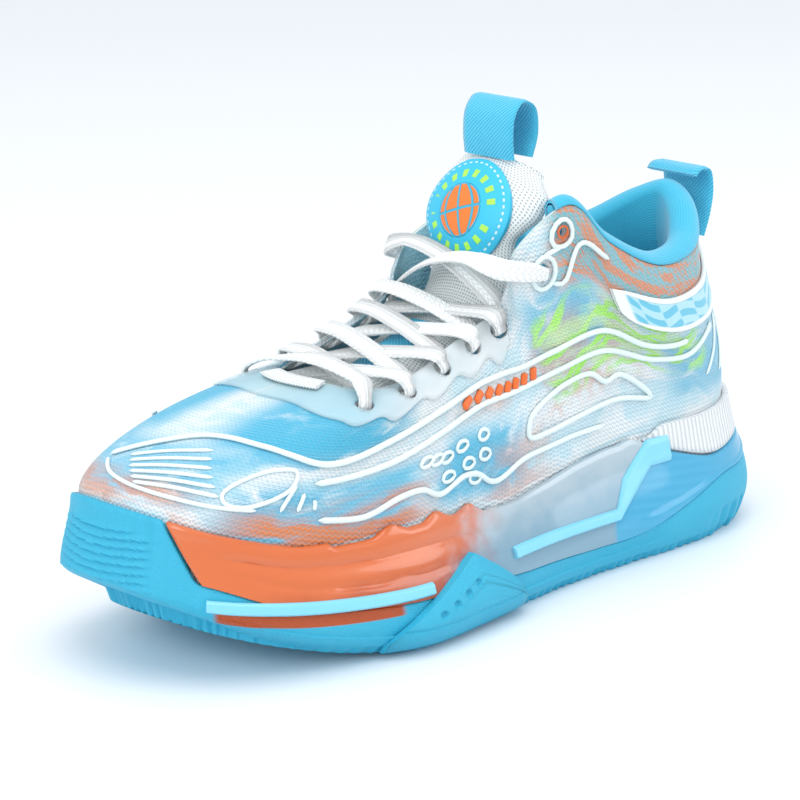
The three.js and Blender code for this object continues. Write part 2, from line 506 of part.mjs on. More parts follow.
// ---- tongue ----
// Centre line of the outer face as shares of length and height, from under the vamp to the top edge.
const TONGUE_LINE = [[0.76, 0.52], [0.72, 0.572], [0.69, 0.594], [0.66, 0.598], [0.62, 0.612], [0.573, 0.65], [0.527, 0.692],
  [0.5, 0.727], [0.48, 0.765], [0.472, 0.812], [0.472, 0.87], [0.472, 0.93], [0.463, 0.99], [0.443, 1.05], [0.416, 1.1]];
const tongueCurve = new THREE.CatmullRomCurve3(TONGUE_LINE.map(([x, z]) => V(x * LENGTH, 0, z * HEIGHT)), false, "centripetal");
const TONGUE_LENGTH = tongueCurve.getLength();
const HINGE_AT = 0.695; // share of the tongue's length where the free top starts to bend
const HINGE_SLOT = 1.3;
const halfWidth = (t) => lerp(31, 19.5, smoothstep(t, 0.25, 0.5)) + 7 * smoothstep(t, 0.74, 0.88);
function tongueAt(t, y, lift) {
  const p = tongueCurve.getPointAt(clamp(t, 0, 1));
  const d = tongueCurve.getTangentAt(clamp(t, 0, 1));
  const drop = TONGUE_DOME * (y / 20) ** 2;
  return V(p.x - d.z * (drop - lift), y, p.z + d.x * (drop - lift));
}
const ACROSS = [-1, -0.66, -0.33, 0, 0.33, 0.66, 1];
const tongueSlab = (from, to, steps) => loft(span(from, to, steps).map((t) => {
  const corner = smoothstep(1 - t, 0, 0.06) * 0.25 + 0.75;
  const w = halfWidth(t) * corner;
  const thick = TONGUE_THICK * (0.45 + 0.55 * smoothstep(t, 0, 0.3));
  return [...ACROSS.map((a) => tongueAt(t, a * w, Math.abs(a) === 1 ? -0.8 : 0)),
    ...[...ACROSS].reverse().map((a) => tongueAt(t, a * w, Math.abs(a) === 1 ? 0.8 - thick : -thick))];
}));
piece("tongue", tongueSlab(0, HINGE_AT - HINGE_SLOT / TONGUE_LENGTH, 13), 0xf4f6f6, 0.95);
piece("tongue_top", tongueSlab(HINGE_AT + HINGE_SLOT / TONGUE_LENGTH, 1, 9), 0xf4f6f6, 0.95);
const strap = (from, to, width, low, high, steps) => loft(span(from, to, steps).map((t) => [
  ...[-0.5, 0, 0.5].map((a) => tongueAt(t, a * width, high)), ...[0.5, 0, -0.5].map((a) => tongueAt(t, a * width, low))]));
piece("tongue_strap", strap(0.3, 0.52, 13, GAP, GAP + 0.7, 8), 0x35b9df, 0.8);
const PATCH_AT = 0.835;
const discRows = [-1, -0.92, -0.75, -0.45, -0.15, 0.15, 0.45, 0.75, 0.92, 1];
const disc = (r, low, high) => loft(discRows.map((k) => {
  const w = r * Math.sqrt(1 - (k * 0.985) ** 2);
  const at = (a, lift) => tongueAt(PATCH_AT + (k * r) / TONGUE_LENGTH, a * w, lift);
  return [...ACROSS.map((a) => at(a, high)), ...[...ACROSS].reverse().map((a) => at(a, low))];
}));
piece("tongue_patch", disc(PATCH_R, GAP, GAP + PATCH_THICK), 0x3fbfe2, 0.6);

// ---- pull loops ----
// Webbing swept through points in the side plane.
function webbing(points, width, steps) {
  const curve = new THREE.CatmullRomCurve3(points.map(([x, z]) => V(x, 0, z)), false, "centripetal");
  return loft(Array.from({ length: steps + 1 }, (_, i) => {
    const p = curve.getPointAt(i / steps);
    const d = curve.getTangentAt(i / steps);
    const q = (y, h) => V(p.x - d.z * h * WEBBING, y * width, p.z + d.x * h * WEBBING);
    return [q(-0.5, -0.5), q(0.5, -0.5), q(0.5, 0.5), q(-0.5, 0.5)];
  }));
}
const tongueTop = tongueAt(1, 0, -TONGUE_THICK / 2);
const heelTop = upper(0.5, 1, -3, 0);
const heelBack = upper(0.5, 0.8, 1.6);
piece("tongue_loop", webbing([[3.6, 1.6], [4.4, 9], [3.4, 17], [-1, 21.5], [-6.6, 19], [-8, 10], [-5.4, 1.6]]
  .map(([x, z]) => [tongueTop.x + x, tongueTop.z + z]), LOOP_WIDTH, 18), 0x2fb4dc, 0.8);
piece("heel_loop", webbing([[heelBack.x, heelBack.z], [heelBack.x - 3, heelBack.z + 8], [heelBack.x - 4.5, heelBack.z + 17],
  [heelBack.x - 2.6, heelBack.z + 24.5], [heelBack.x + 3, heelTop.z + 9.5], [heelTop.x - 0.5, heelTop.z + 7.6]],
  LOOP_WIDTH, 16), 0x2fb4dc, 0.8);

// ---- lace ----
// One flat lace: a bar over the first holes, then each end crosses to the far side, over its edge and down its hole.
const OVER = RIB_GAP + RIB_HEIGHT + 2 * GAP + LACE_THICK / 2;
const UNDER = KNIT + 2 * GAP + LACE_THICK / 2;
// Tucked ends hang inside the shoe, below the collar ring: forward, inward and up from the hole. The last two hold the tip.
const TAIL = [[-0.5, 1.2, -4], [-1, 2.8, -9], [-1.2, 4.6, -15], [-1.2, 4.8, -15.6], [-1, 5.6, -15.6 - AGLET_LENGTH]];
const AGLET_WIDTH = 2.4;
const aglets = [];
const EDGE_SHIFT = 0.2; // in and out strands sit side by side at the throat edge, in keys
function step(at, side, width = LACE_WIDTH) {
  return { at, side, width };
}
function atHole(i, sign) {
  const [key, v, edgeKey] = EYELETS[i];
  const last = i === EYELETS.length - 1;
  const u = keyU(key, sign);
  const hole = frame(u, v);
  const under = UNDER + (last ? 3.2 : 0);
  const above = OVER + (last ? 2.4 : 1.2);
  const over = frame(keyU(edgeKey - (last ? 0 : EDGE_SHIFT), sign), 1);
  const inward = over.at.clone().sub(hole.at);
  inward.addScaledVector(hole.out, -inward.dot(hole.out)).normalize();
  const wide = hole.out.clone().cross(inward).normalize();
  const radius = (OVER + under) / 2;
  const bend = Math.min(radius, 2.3);
  const turn = [0, 0.25, 0.5, 0.75, 1].map((t) => {
    const a = Math.PI * t;
    const lift = (OVER - under) / 2 + radius * Math.cos(a);
    const d = 1.1 - bend * Math.sin(a);
    return step(hole.at.clone().addScaledVector(hole.out, lift).addScaledVector(inward, d), wide, LACE_PINCH);
  });
  const before = step(hole.at.clone().lerp(over.at, 0.62).addScaledVector(hole.out, above + 0.3), wide, LACE_WIDTH * 0.9);
  const list = [step(over.at.clone().addScaledVector(over.out, above), wide), before, ...turn];
  if (!last) {
    const leave = frame(keyU(edgeKey + EDGE_SHIFT, sign), 1);
    const mid = hole.at.clone().lerp(leave.at, 0.6).addScaledVector(hole.out, -under - 0.2);
    list.push(step(mid, wide, LACE_WIDTH * 0.8), step(leave.at.clone().addScaledVector(leave.out, -under - 0.2), wide));
  }
  return list;
}
const CROSS_LIFT = 3; // strands above the line from edge to edge
const CROSS_GAP = 1.15;
function crossing(from, to, top, lift) {
  const along = to.at.clone().sub(from.at);
  return [0.26, 0.5, 0.74].map((t) => {
    const p = from.at.clone().addScaledVector(along, t);
    const n = V(0.35, 0, 1).normalize();
    const q = p.addScaledVector(n, lift * (t === 0.5 ? 1 : 0.8) + (top ? CROSS_GAP : -CROSS_GAP));
    return step(q, n.clone().cross(along).normalize());
  });
}
function half(sign) {
  let s = sign;
  const list = atHole(0, s);
  for (let i = 1; i < EYELETS.length; i++) {
    const next = atHole(i, -s);
    list.push(...crossing(list.at(-1), next[0], s > 0, CROSS_LIFT + (i === EYELETS.length - 1 ? 6 : 0)), ...next);
    s = -s;
  }
  const end = list.at(-1).at;
  const hang = ([x, y, z]) => step(end.clone().add(V(x, y * -s, z)), V(1, 0, 0), LACE_PINCH);
  const tail = TAIL.slice(0, 3).map(hang);
  aglets.push(TAIL.slice(3).map((p) => ({ ...hang(p), width: AGLET_WIDTH })));
  return [...list, ...tail];
}
function flat(steps, thick, smooth = 1) {
  const pos = new THREE.CatmullRomCurve3(steps.map((p) => p.at), false, "centripetal");
  const n = steps.length - 1;
  for (let i = 1; i <= n; i++) if (steps[i].side.dot(steps[i - 1].side) < 0) steps[i].side.negate();
  return loft(Array.from({ length: n * smooth + 1 }, (_, i) => {
    const t = i / smooth;
    const k = Math.min(Math.floor(t), n - 1);
    const p = pos.getPoint(t / n);
    const d = pos.getTangent(t / n);
    const side = steps[k].side.clone().lerp(steps[k + 1].side, t - k);
    side.addScaledVector(d, -side.dot(d)).normalize();
    const up = side.clone().cross(d);
    const w = lerp(steps[k].width, steps[k + 1].width, t - k);
    const q = (a, h) => p.clone().addScaledVector(side, a * w).addScaledVector(up, h * thick);
    return [q(-0.5, 0), q(-0.4, -0.5), q(0.4, -0.5), q(0.5, 0), q(0.4, 0.5), q(-0.4, 0.5)];
  }));
}
const outerHalf = half(1);
const innerHalf = half(-1);
const barMid = step(outerHalf[0].at.clone().lerp(innerHalf[0].at, 0.5).add(V(0.4, 0, 3.4)), V(1, 0, -0.3).normalize());
const whole = [...innerHalf].reverse().concat([barMid], outerHalf);
piece("lace", flat(whole, LACE_THICK), WHITE, 0.9);
console.log("lace length mm", Math.round(new THREE.CatmullRomCurve3(whole.map((p) => p.at)).getLength()));
for (const steps of aglets) {
  piece(steps[0].at.y > 0 ? "outer_aglet" : "inner_aglet", flat(steps, 1.8, 3), 0xf2f4f4, 0.3);
}

// Origin: middle of the box, on the ground.
const box = new THREE.Box3().setFromObject(model);
model.position.set(-(box.min.x + box.max.x) / 2, -(box.min.y + box.max.y) / 2, -box.min.z);

export default shoe;
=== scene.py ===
# %% [markdown]
# # Basketball high top
# The frame holds every piece at its real size and place. Blender adds what a moulder, a knitting machine
# and a sewing room add: sculpted rubber, a dyed knit, raised print, braid, twill and padding. Shapes are
# worked out in millimetres, from the last's own origin at the back of the heel.

# %% Frame
import json
from math import cos, floor, pi, radians, sin, sqrt

import bpy
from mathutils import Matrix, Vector


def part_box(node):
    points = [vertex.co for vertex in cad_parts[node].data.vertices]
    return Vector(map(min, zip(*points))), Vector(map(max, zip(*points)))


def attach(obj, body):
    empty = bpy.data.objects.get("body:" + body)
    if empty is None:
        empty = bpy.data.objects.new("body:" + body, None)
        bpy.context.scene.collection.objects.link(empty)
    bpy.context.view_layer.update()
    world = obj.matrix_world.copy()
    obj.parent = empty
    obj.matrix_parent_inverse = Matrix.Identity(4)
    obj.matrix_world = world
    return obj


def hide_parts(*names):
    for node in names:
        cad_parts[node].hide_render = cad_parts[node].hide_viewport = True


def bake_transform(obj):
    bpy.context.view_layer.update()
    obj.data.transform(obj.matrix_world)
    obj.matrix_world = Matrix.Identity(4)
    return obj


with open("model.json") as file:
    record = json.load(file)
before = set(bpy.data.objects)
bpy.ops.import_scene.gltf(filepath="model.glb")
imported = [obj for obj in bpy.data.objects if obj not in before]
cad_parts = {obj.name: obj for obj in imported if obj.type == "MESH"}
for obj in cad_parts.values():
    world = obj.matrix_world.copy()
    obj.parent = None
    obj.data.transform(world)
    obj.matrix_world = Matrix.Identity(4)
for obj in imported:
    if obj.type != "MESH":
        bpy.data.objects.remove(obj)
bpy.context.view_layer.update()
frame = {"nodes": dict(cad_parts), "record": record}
record = frame["record"]
low = Vector(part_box("outsole")[0])
MM = 1000
LENGTH, WIDTH, HEIGHT = 300, 108, 135  # outsole, ball of the foot, collar peak
TOE_START, TOE_SPRING, TOE_BEND = 0.683, 24, 1.7  # where the sole lifts, how far, how sharply
OFFSET = Vector((low.x * MM - 0.85, -0.47, 0))  # the last's origin in the frame

# %% [markdown]
# ## Camera
# A long lens keeps the toe and the heel at nearly the same scale.

# %% Camera
AZIMUTH, ELEVATION, DISTANCE = radians(136), radians(15.1), 1.1
target = Vector((0.0099, -0.0103, 0.0646))
back = Vector((sin(AZIMUTH) * cos(ELEVATION), -cos(AZIMUTH) * cos(ELEVATION), sin(ELEVATION)))
lens = bpy.data.cameras.new("camera")
lens.lens, lens.sensor_width = 142, 36
camera = bpy.data.objects.new("camera", lens)
camera.location = target + back * DISTANCE
camera.rotation_euler = (-back).to_track_quat("-Z", "Y").to_euler()
bpy.context.scene.collection.objects.link(camera)
bpy.context.scene.camera = camera
print("camera at", [round(c, 3) for c in camera.location])

# %% [markdown]
# ## Studio
# A pale floor and three soft panels: a broad one overhead, one at the toe side and one behind the heel.

# %% Studio
scene = bpy.context.scene
scene.view_settings.view_transform = "Standard"
scene.world = bpy.data.worlds.new("studio")
scene.world.use_nodes = True
scene.world.node_tree.nodes["Background"].inputs["Color"].default_value = (0.93, 0.96, 1, 1)
scene.world.node_tree.nodes["Background"].inputs["Strength"].default_value = 0.92
PANELS = [("overhead", (0.1, 0.25, 1.5), 1.6, 10), ("toe side", (1.3, 0.3, 0.8), 0.9, 6),
          ("heel side", (-1.2, 1.2, 0.7), 0.9, 4.5)]
for name, place, width, power in PANELS:
    light = bpy.data.lights.new(name, "AREA")
    light.shape, light.size, light.energy = "DISK", width, power
    lamp = bpy.data.objects.new(name, light)
    lamp.location = place
    lamp.rotation_euler = (-Vector(place)).to_track_quat("-Z", "Y").to_euler()
    scene.collection.objects.link(lamp)
bpy.ops.mesh.primitive_plane_add(size=30)
floor_plane = bpy.context.object
floor_plane.name = "floor"
print("panels", len(PANELS))

# %% [markdown]
# ## Shader arithmetic
# A finish is a formula over places on a surface. `Wire` wraps a socket so that formulas read as formulas,
# and `Finish` is one material with a method that adds any node.

# %% Wires
class Wire:
    def __init__(self, finish, socket):
        self.finish, self.socket = finish, socket

    def math(self, operation, other=0.0, swap=False):
        a, b = (other, self) if swap else (self, other)
        return self.finish.node("ShaderNodeMath", {"operation": operation}, {0: a, 1: b})

    def __add__(self, o): return self.math("ADD", o)
    def __radd__(self, o): return self.math("ADD", o)
    def __sub__(self, o): return self.math("SUBTRACT", o)
    def __rsub__(self, o): return self.math("SUBTRACT", o, True)
    def __mul__(self, o): return self.math("MULTIPLY", o)
    def __rmul__(self, o): return self.math("MULTIPLY", o)
    def __truediv__(self, o): return self.math("DIVIDE", o)
    def __rtruediv__(self, o): return self.math("DIVIDE", o, True)
    def __pow__(self, o): return self.math("POWER", o)
    def sin(self): return self.math("SINE")
    def abs(self): return self.math("ABSOLUTE")
    def ripple(self, pitch): return (self * (2 * pi / pitch)).sin()
    def least(self, o): return self.math("MINIMUM", o)
    def most(self, o): return self.math("MAXIMUM", o)
    def angle(self, o): return self.math("ARCTAN2", o)

    def rise(self, a, b):
        """0 before a, 1 after b, smooth between."""
        settings = {"interpolation_type": "SMOOTHSTEP"}
        return self.finish.node("ShaderNodeMapRange", settings, {0: self, 1: a, 2: b})

    def within(self, a, b, soft):
        return self.rise(a - soft, a + soft) * (1 - self.rise(b - soft, b + soft))


class Finish:
    def __init__(self, name, **uniform):
        self.material = bpy.data.materials.new(name)
        self.material.use_nodes = True
        self.tree = self.material.node_tree
        self.shader = self.tree.nodes["Principled BSDF"]
        for key, value in uniform.items():
            self.shader.inputs[key.replace("_", " ")].default_value = value

    def put(self, socket, value):
        if isinstance(value, Wire):
            self.tree.links.new(value.socket, socket)
        else:
            socket.default_value = value

    def node(self, kind, settings=None, values=None, out=0):
        made = self.tree.nodes.new(kind)
        for key, value in (settings or {}).items():
            setattr(made, key, value)
        for key, value in (values or {}).items():
            self.put(made.inputs[key], value)
        return Wire(self, made.outputs[out])

    def to(self, name, value):
        self.put(self.shader.inputs[name], value)
        return self

    def split(self, vector):
        parts = self.node("ShaderNodeSeparateXYZ", None, {0: vector})
        return [Wire(self, s) for s in parts.socket.node.outputs]

    def uv(self, name):
        return self.split(self.node("ShaderNodeUVMap", {"uv_map": name}))[:2]

    def place(self):
        return self.node("ShaderNodeTexCoord", out=3)

    def vector(self, x, y, z=0.0):
        return self.node("ShaderNodeCombineXYZ", None, {0: x, 1: y, 2: z})

    def noise(self, vector, scale, detail=3, distortion=0.0):
        return self.node("ShaderNodeTexNoise", None, {"Vector": vector, "Scale": scale, "Detail": detail,
                                                      "Roughness": 0.55, "Distortion": distortion})

    def mix(self, factor, a, b):
        return self.node("ShaderNodeMix", {"data_type": "RGBA"}, {0: factor, 6: a, 7: b}, out=2)

    def bump(self, height, millimetres):
        sockets = {"Height": height, "Distance": millimetres / MM, "Strength": 1.0}
        return self.to("Normal", self.node("ShaderNodeBump", None, sockets))


WHITE, CYAN = (0.83, 0.87, 0.87, 1), (0.03, 0.46, 0.67, 1)
LIME, INK = (0.42, 0.9, 0.09, 1), (0.02, 0.03, 0.04, 1)
print("shader helpers ready")

# %% [markdown]
# ## Finishes
# Moulded rubber has a fine cross-hatch from its mould. The side cage is one gloss moulding, dyed orange at
# the front, misty grey-blue at the arch and cyan at the heel, with painted light that makes each dye lighter
# towards the top. "place" counts stations round the shoe in x.
# "weave" is millimetres along and up the surface, so threads keep their size everywhere.

# %% Rubber and cage
HEEL_KEY = 15  # stations are counted from 0 at the toe to 15 at the heel, and back by the inner side
STRIPE_LEVEL, STRIPE_RISE = 19, 0.4  # height of the painted bands, and how much they follow the sole's lift


def crosshatch(f, pitch):
    x, y = f.uv("weave")
    return (x + y).ripple(pitch) * (x - y).ripple(pitch)


def mirrored(f):
    key, v = f.uv("place")
    return HEEL_KEY - (key - HEEL_KEY).abs(), v, key


def speckled(name, first, second, patches, amount, grain, **uniform):
    """A plain finish: soft patches of two tones under a fine grain."""
    f = Finish(name, **uniform)
    f.to("Base Color", f.mix(f.noise(f.place(), patches) * amount, first, second))
    return f.bump(f.noise(f.place(), grain), 0.05)


rubber = Finish("moulded rubber", Roughness=0.5)
key, _, _ = mirrored(rubber)
cloud = rubber.noise(rubber.place(), 30)
x, _, up = rubber.split(rubber.place())
toe_lift = (((x * MM + 150.25) / LENGTH - TOE_START) / (1 - TOE_START)).most(0.0) ** TOE_BEND * TOE_SPRING
above_band = up * MM - STRIPE_LEVEL - toe_lift * STRIPE_RISE
under_band = above_band.within(-4.4, 2, 0.3) * key.within(2.0, 4.5, 0.06)
cyan_rubber = rubber.mix(cloud * 0.5, CYAN, (0.03, 0.38, 0.6, 1))
rubber.to("Base Color", rubber.mix(under_band, cyan_rubber, (0.45, 0.07, 0.01, 1)))
rubber.bump(crosshatch(rubber, 1.5) * 0.5 + rubber.noise(rubber.place(), 900) * 0.3, 0.16)

cage = Finish("dyed gloss cage with painted light", Coat_Weight=0.7, Coat_Roughness=0.08)
key, z, _ = mirrored(cage)
mist = cage.noise(cage.vector(key * 2.4, z * 0.12), 1.0, 2) - 0.5
orange_here = 1 - (key + mist * 1.6 - (z - 30) * 0.05).rise(5.3, 6.9)
# Below and behind the rear band the moulding is solid cyan.
cyan_here = (19.5 + (key - 9.5) * 16.7 - z).rise(-0.6, 0.6) * key.rise(9.35, 9.5)
# Painted light: lit makes each dye lighter towards the top of the wall and darker below, as light from above
# falls; grey and flame each hold a painted shaded tone and a painted lit tone.
lit = (z + mist * 9 - (key - 7) * 1.5).rise(22, 38)
grey = cage.mix(lit, (0.17, 0.33, 0.44, 1), (0.42, 0.52, 0.58, 1))
flame = cage.mix(lit, (0.42, 0.06, 0.01, 1), (0.66, 0.14, 0.03, 1))
cage.to("Base Color", cage.mix(cyan_here, cage.mix(orange_here, grey, flame), (0.02, 0.36, 0.6, 1)))
cage.to("Roughness", 0.24 + cyan_here * 0.22)
lines = (z * 1.9 + key * 5).sin() * cyan_here
cage.bump(lines * 0.5 + cage.noise(cage.place(), 500) * 0.12, 0.12)

stripe = speckled("painted stripe", (0.2, 0.62, 0.8, 1), (0.28, 0.7, 0.86, 1), 90, 0.4, 700,
                  Roughness=0.35, Coat_Weight=0.3)
print("moulded finishes ready")

# %% [markdown]
# The knit is dyed in streaks before it is sewn: cyan washes over the vamp, orange along the forefoot edge,
# an orange heather at the collar and lime brush marks at the heel. Its surface is rows of small loops, with
# painted shade in the dips between them.

# %% Knit
knit = Finish("dyed knit", Roughness=0.85, Sheen_Weight=0.25)
key, v, whole_key = mirrored(knit)
x, y = knit.uv("weave")
warp = knit.noise(knit.vector(whole_key * 0.7, v * 2.2), 1.3, 2)


def streaks(seed, along, across, sharp=0.1, slope=0.0, level=0.5):
    """Brush strokes: long along the shoe, short up it."""
    spot = knit.vector(whole_key * along + warp * 1.2 + seed, (v + key * slope) * across + warp * 1.5)
    n = knit.noise(spot, 1.0, 4, 0.4)
    return n.rise(level - sharp, level + sharp)


def zone(k0, k1, v0, v1, soft_k=0.5, soft_v=0.07):
    return key.within(k0, k1, soft_k) * v.within(v0, v1, soft_v)


base = knit.mix(streaks(3, 0.8, 7) * 0.75, (0.86, 0.89, 0.9, 1), (0.52, 0.76, 0.85, 1))
for area, seed, along, across, amount in [
    (zone(0.6, 3.9, 0.52, 1.1), 7, 0.9, 5, 1.0), (zone(0.9, 3.4, 0.42, 0.9, 0.3), 9, 0.5, 4, 0.8),
    (zone(-1, 1.6, 0.12, 0.5), 17, 0.8, 6, 0.75), (zone(2.0, 5.0, -0.1, 0.34), 21, 0.7, 6, 0.85),
    (zone(5.4, 7.6, 0.02, 0.36), 31, 0.9, 5, 0.95), (zone(8.6, 10.3, 0.42, 0.75), 41, 1.6, 4, 0.8),
    (zone(11.2, 16, 0.1, 0.52), 47, 1.2, 6, 0.7),
]:
    base = knit.mix(area * streaks(seed, along, across, 0.09, 0, 0.4) * amount, base, (0.045, 0.46, 0.7, 1))
threads = ((x * 1.1 + y * 0.6) * 2.2).sin() * 0.25
for area, seed, along, across, amount in [
    (zone(2.2, 5.2, -0.2, 0.2, 0.6, 0.09), 53, 0.6, 8, 1.0), (zone(-0.8, 1.4, 0.0, 0.26), 57, 0.8, 8, 0.7),
    (zone(6.6, 8.3, -0.1, 0.25), 61, 0.9, 6, 0.45), (zone(8.4, 10.6, 0.22, 0.62, 0.4), 67, 1.1, 6, 0.5),
    (zone(5.6, 7.4, 0.44, 0.56), 69, 1.2, 8, 0.5),
]:
    base = knit.mix(area * streaks(seed, along, across, 0.12, 0, 0.46) * amount, base, (0.72, 0.22, 0.07, 1))
heather = knit.mix(streaks(71, 1.4, 16, 0.07, 0.05) + threads, (0.22, 0.52, 0.58, 1), (0.78, 0.25, 0.09, 1))
at_collar = key.rise(9.4, 9.8) * v.rise(0.66, 0.76) * (1 - key.rise(13.0, 14.2))
base = knit.mix(at_collar.least(1.0), base, heather)
scribble = (v * 26 + (key * 2.3).sin() * 1.4 + warp * 7).sin().abs().rise(0.86, 0.97)
second = (v * 17 - key * 1.9 + warp * 8).sin().abs().rise(0.9, 0.98)
base = knit.mix(scribble.most(second) * zone(8.7, 12.4, 0.28, 0.66, 0.25, 0.05), base, LIME)
wash = streaks(83, 1.1, 9, 0.1, 0.08, 0.52) * zone(8.8, 12.4, 0.3, 0.66, 0.3, 0.06)
base = knit.mix(wash * 0.7, base, (0.6, 0.88, 0.36, 1))
checker = ((key * 13 + v * 42).sin() * (key * 13 - v * 42).sin()).rise(0.18, 0.3)
base = knit.mix(checker * zone(8.4, 10.1, 0.15, 0.29, 0.15, 0.02) * 0.85, base, WHITE)
inner_face = 1 - v.rise(-1.6, -1.4)
base = knit.mix(inner_face, base, (0.3, 0.6, 0.7, 1))
loops = x.ripple(2.0) * (y * (2 * pi / 1.7) + x.ripple(2.0) * 0.9).sin()
# Painted shade: the dips between the loops are painted darker, as the shade that falls in them.
shade = (loops * 0.5 + 0.5).rise(0.05, 0.75)
knit.to("Base Color", knit.mix(shade, knit.mix(0.38, base, (0.16, 0.4, 0.5, 1)), base))
knit.bump(loops + knit.noise(knit.place(), 1500) * 0.5, 0.2)
print("knit ready")

# %% [markdown]
# Trim finishes: open mesh for the tongue, twill tape for the loops, a flat braid for the lace, satin raised
# print, clear film at the eyelets, foam for the heel wedge and a smooth lining with a fine weave.

# %% Trim finishes
def woven(name, color, second, pitch, slope, depth, rough=0.8, **uniform):
    f = Finish(name, Roughness=rough, **uniform)
    x, y = f.uv("weave")
    over, cross = (x + y * slope).ripple(pitch), (y - x * slope).ripple(pitch)
    # Painted shade: the darker second tone sits where the threads dip, as the shade in the weave.
    f.to("Base Color", f.mix(over.rise(-0.6, 0.6), second, color))
    return f.bump(over * 0.7 + cross * 0.3 + f.noise(f.place(), 1200) * 0.3, depth)


mesh_cloth = Finish("open mesh", Roughness=0.9, Sheen_Weight=0.2)
x, y = mesh_cloth.uv("weave")
cells = x.ripple(2.3) * y.ripple(2.3)
# Painted shade: the holes are painted grey, as the shade inside them.
hole = cells.abs().rise(0.5, 0.85)
mesh_cloth.to("Base Color", mesh_cloth.mix(hole, (0.86, 0.89, 0.88, 1), (0.47, 0.52, 0.53, 1)))
mesh_cloth.bump(1 - hole, 0.25)

twill = woven("twill tape", (0.08, 0.58, 0.8, 1), (0.03, 0.4, 0.63, 1), 1.5, 1.0, 0.1, 0.6, Sheen_Weight=0.3)
lining = woven("lining", (0.04, 0.5, 0.72, 1), (0.03, 0.43, 0.65, 1), 1.0, 0.0, 0.05, 0.8, Sheen_Weight=0.4)

braid = Finish("flat braid", Roughness=0.8, Sheen_Weight=0.2)
x, y = braid.uv("weave")
chevron = (x * (2 * pi / 2.6) + y.ripple(3.6).abs() * 3.0).sin()
# Painted shade: the low parts of the chevrons are painted grey, as the shade between the strands of the white
# braid.
braid.to("Base Color", braid.mix(chevron.rise(-0.9, 0.3), (0.74, 0.76, 0.76, 1), (0.9, 0.92, 0.91, 1)))
braid.bump(chevron + braid.noise(braid.place(), 1400) * 0.4, 0.09)

raised = speckled("raised print", (0.78, 0.87, 0.86, 1), (0.66, 0.83, 0.84, 1), 60, 0.5, 900,
                  Roughness=0.32, Coat_Weight=0.25)
orange_print = speckled("orange print", (0.85, 0.17, 0.02, 1), (0.75, 0.12, 0.015, 1), 120, 1.0, 900,
                        Roughness=0.35)

film = Finish("clear film", Roughness=0.3, Coat_Weight=0.2)
key, v, _ = mirrored(film)
past_toe = (key + film.noise(film.place(), 40)).rise(2.6, 4.4)
film.to("Base Color", film.mix(past_toe, (0.6, 0.84, 0.9, 1), (0.84, 0.9, 0.91, 1)))
film.to("Alpha", 0.4 + film.noise(film.place(), 60) * 0.12)
film.bump(film.noise(film.place(), 800), 0.05)

foam = Finish("ribbed foam", Roughness=0.75)
x, y = foam.uv("weave")
flutes = x.ripple(2.4)
# Painted shade: the grooves between the flutes are painted grey, as the shade in them.
foam.to("Base Color", foam.mix(flutes.rise(-1, 0), (0.62, 0.66, 0.68, 1), (0.88, 0.9, 0.91, 1)))
foam.bump(flutes + foam.noise(foam.place(), 900) * 0.3, 0.3)

dark = speckled("satin plate", INK, (0.06, 0.07, 0.08, 1), 60, 1.0, 700, Roughness=0.4)

badge = Finish("heel badge", Roughness=0.35, Coat_Weight=0.2)
key, v, _ = mirrored(badge)
mid = (v - 0.68).abs()
rim = (mid.rise(0.08, 0.09) + (1 - key.rise(11.0, 11.12))).least(1.0)
tiles = (key * 7.5).sin() * (v * 60 + (key * 5).sin() * 2).sin()
tone = badge.mix(tiles.rise(-0.15, 0.05), (0.12, 0.52, 0.7, 1), (0.42, 0.72, 0.8, 1))
badge.to("Base Color", badge.mix(rim, tone, WHITE))
badge.bump(rim + tiles * 0.2, 0.25)

# The round patch: stitches near its edge, a ring of short bars, and a basketball.
patch_finish = Finish("round patch", Roughness=0.45)
px, py = patch_finish.uv("place")
r = (px * px + py * py) ** 0.5
turn = px.angle(py)
stitch = r.within(17.2, 17.9, 0.15) * ((turn * 44).sin()).rise(-0.2, 0.2)
bars = r.within(11.6, 14.6, 0.2) * (turn * 17).sin().rise(0.05, 0.3) * (py.abs()).rise(2.5, 3.5)
ball = 1 - r.rise(9.1, 9.4)
tx, ty = px * 0.94 + py * 0.34, py * 0.94 - px * 0.34
bow = (tx.abs() - 6.2 + ty * ty * 0.045).abs()
seams = (1 - tx.abs().rise(0.3, 0.6)).most(1 - ty.abs().rise(0.3, 0.6)).most(1 - bow.rise(0.35, 0.65))
face_color = patch_finish.mix(stitch, (0.03, 0.5, 0.74, 1), (0.6, 0.85, 0.92, 1))
face_color = patch_finish.mix(bars, face_color, LIME)
ball_color = patch_finish.mix(seams.most(r.rise(8.5, 8.8)), (0.85, 0.2, 0.03, 1), (0.03, 0.42, 0.62, 1))
patch_finish.to("Base Color", patch_finish.mix(ball, face_color, ball_color))
patch_finish.bump(ball * (1 - seams * 0.7) + bars * 0.5 - stitch * 0.4, 0.5)

studio = Finish("studio floor", Roughness=0.45)
soft_tone = studio.noise(studio.place(), 3) * 0.3
studio.to("Base Color", studio.mix(soft_tone, (0.88, 0.9, 0.92, 1), (0.86, 0.88, 0.9, 1)))
floor_plane.data.materials.append(studio.material)
print("finishes", len(bpy.data.materials))

# %% [markdown]
# ## The last
# A shoe is built on a last, so every skin here hangs on stations round the foot, given as shares of the
# frame's length, width and collar height: outline x and y, rim, rubber height, cage height, wall inset in
# millimetres, opening x, y and z, two curve handles and the padding. They run from the toe tip round the
# outer side to the heel, and the inner side mirrors them with its own outline.

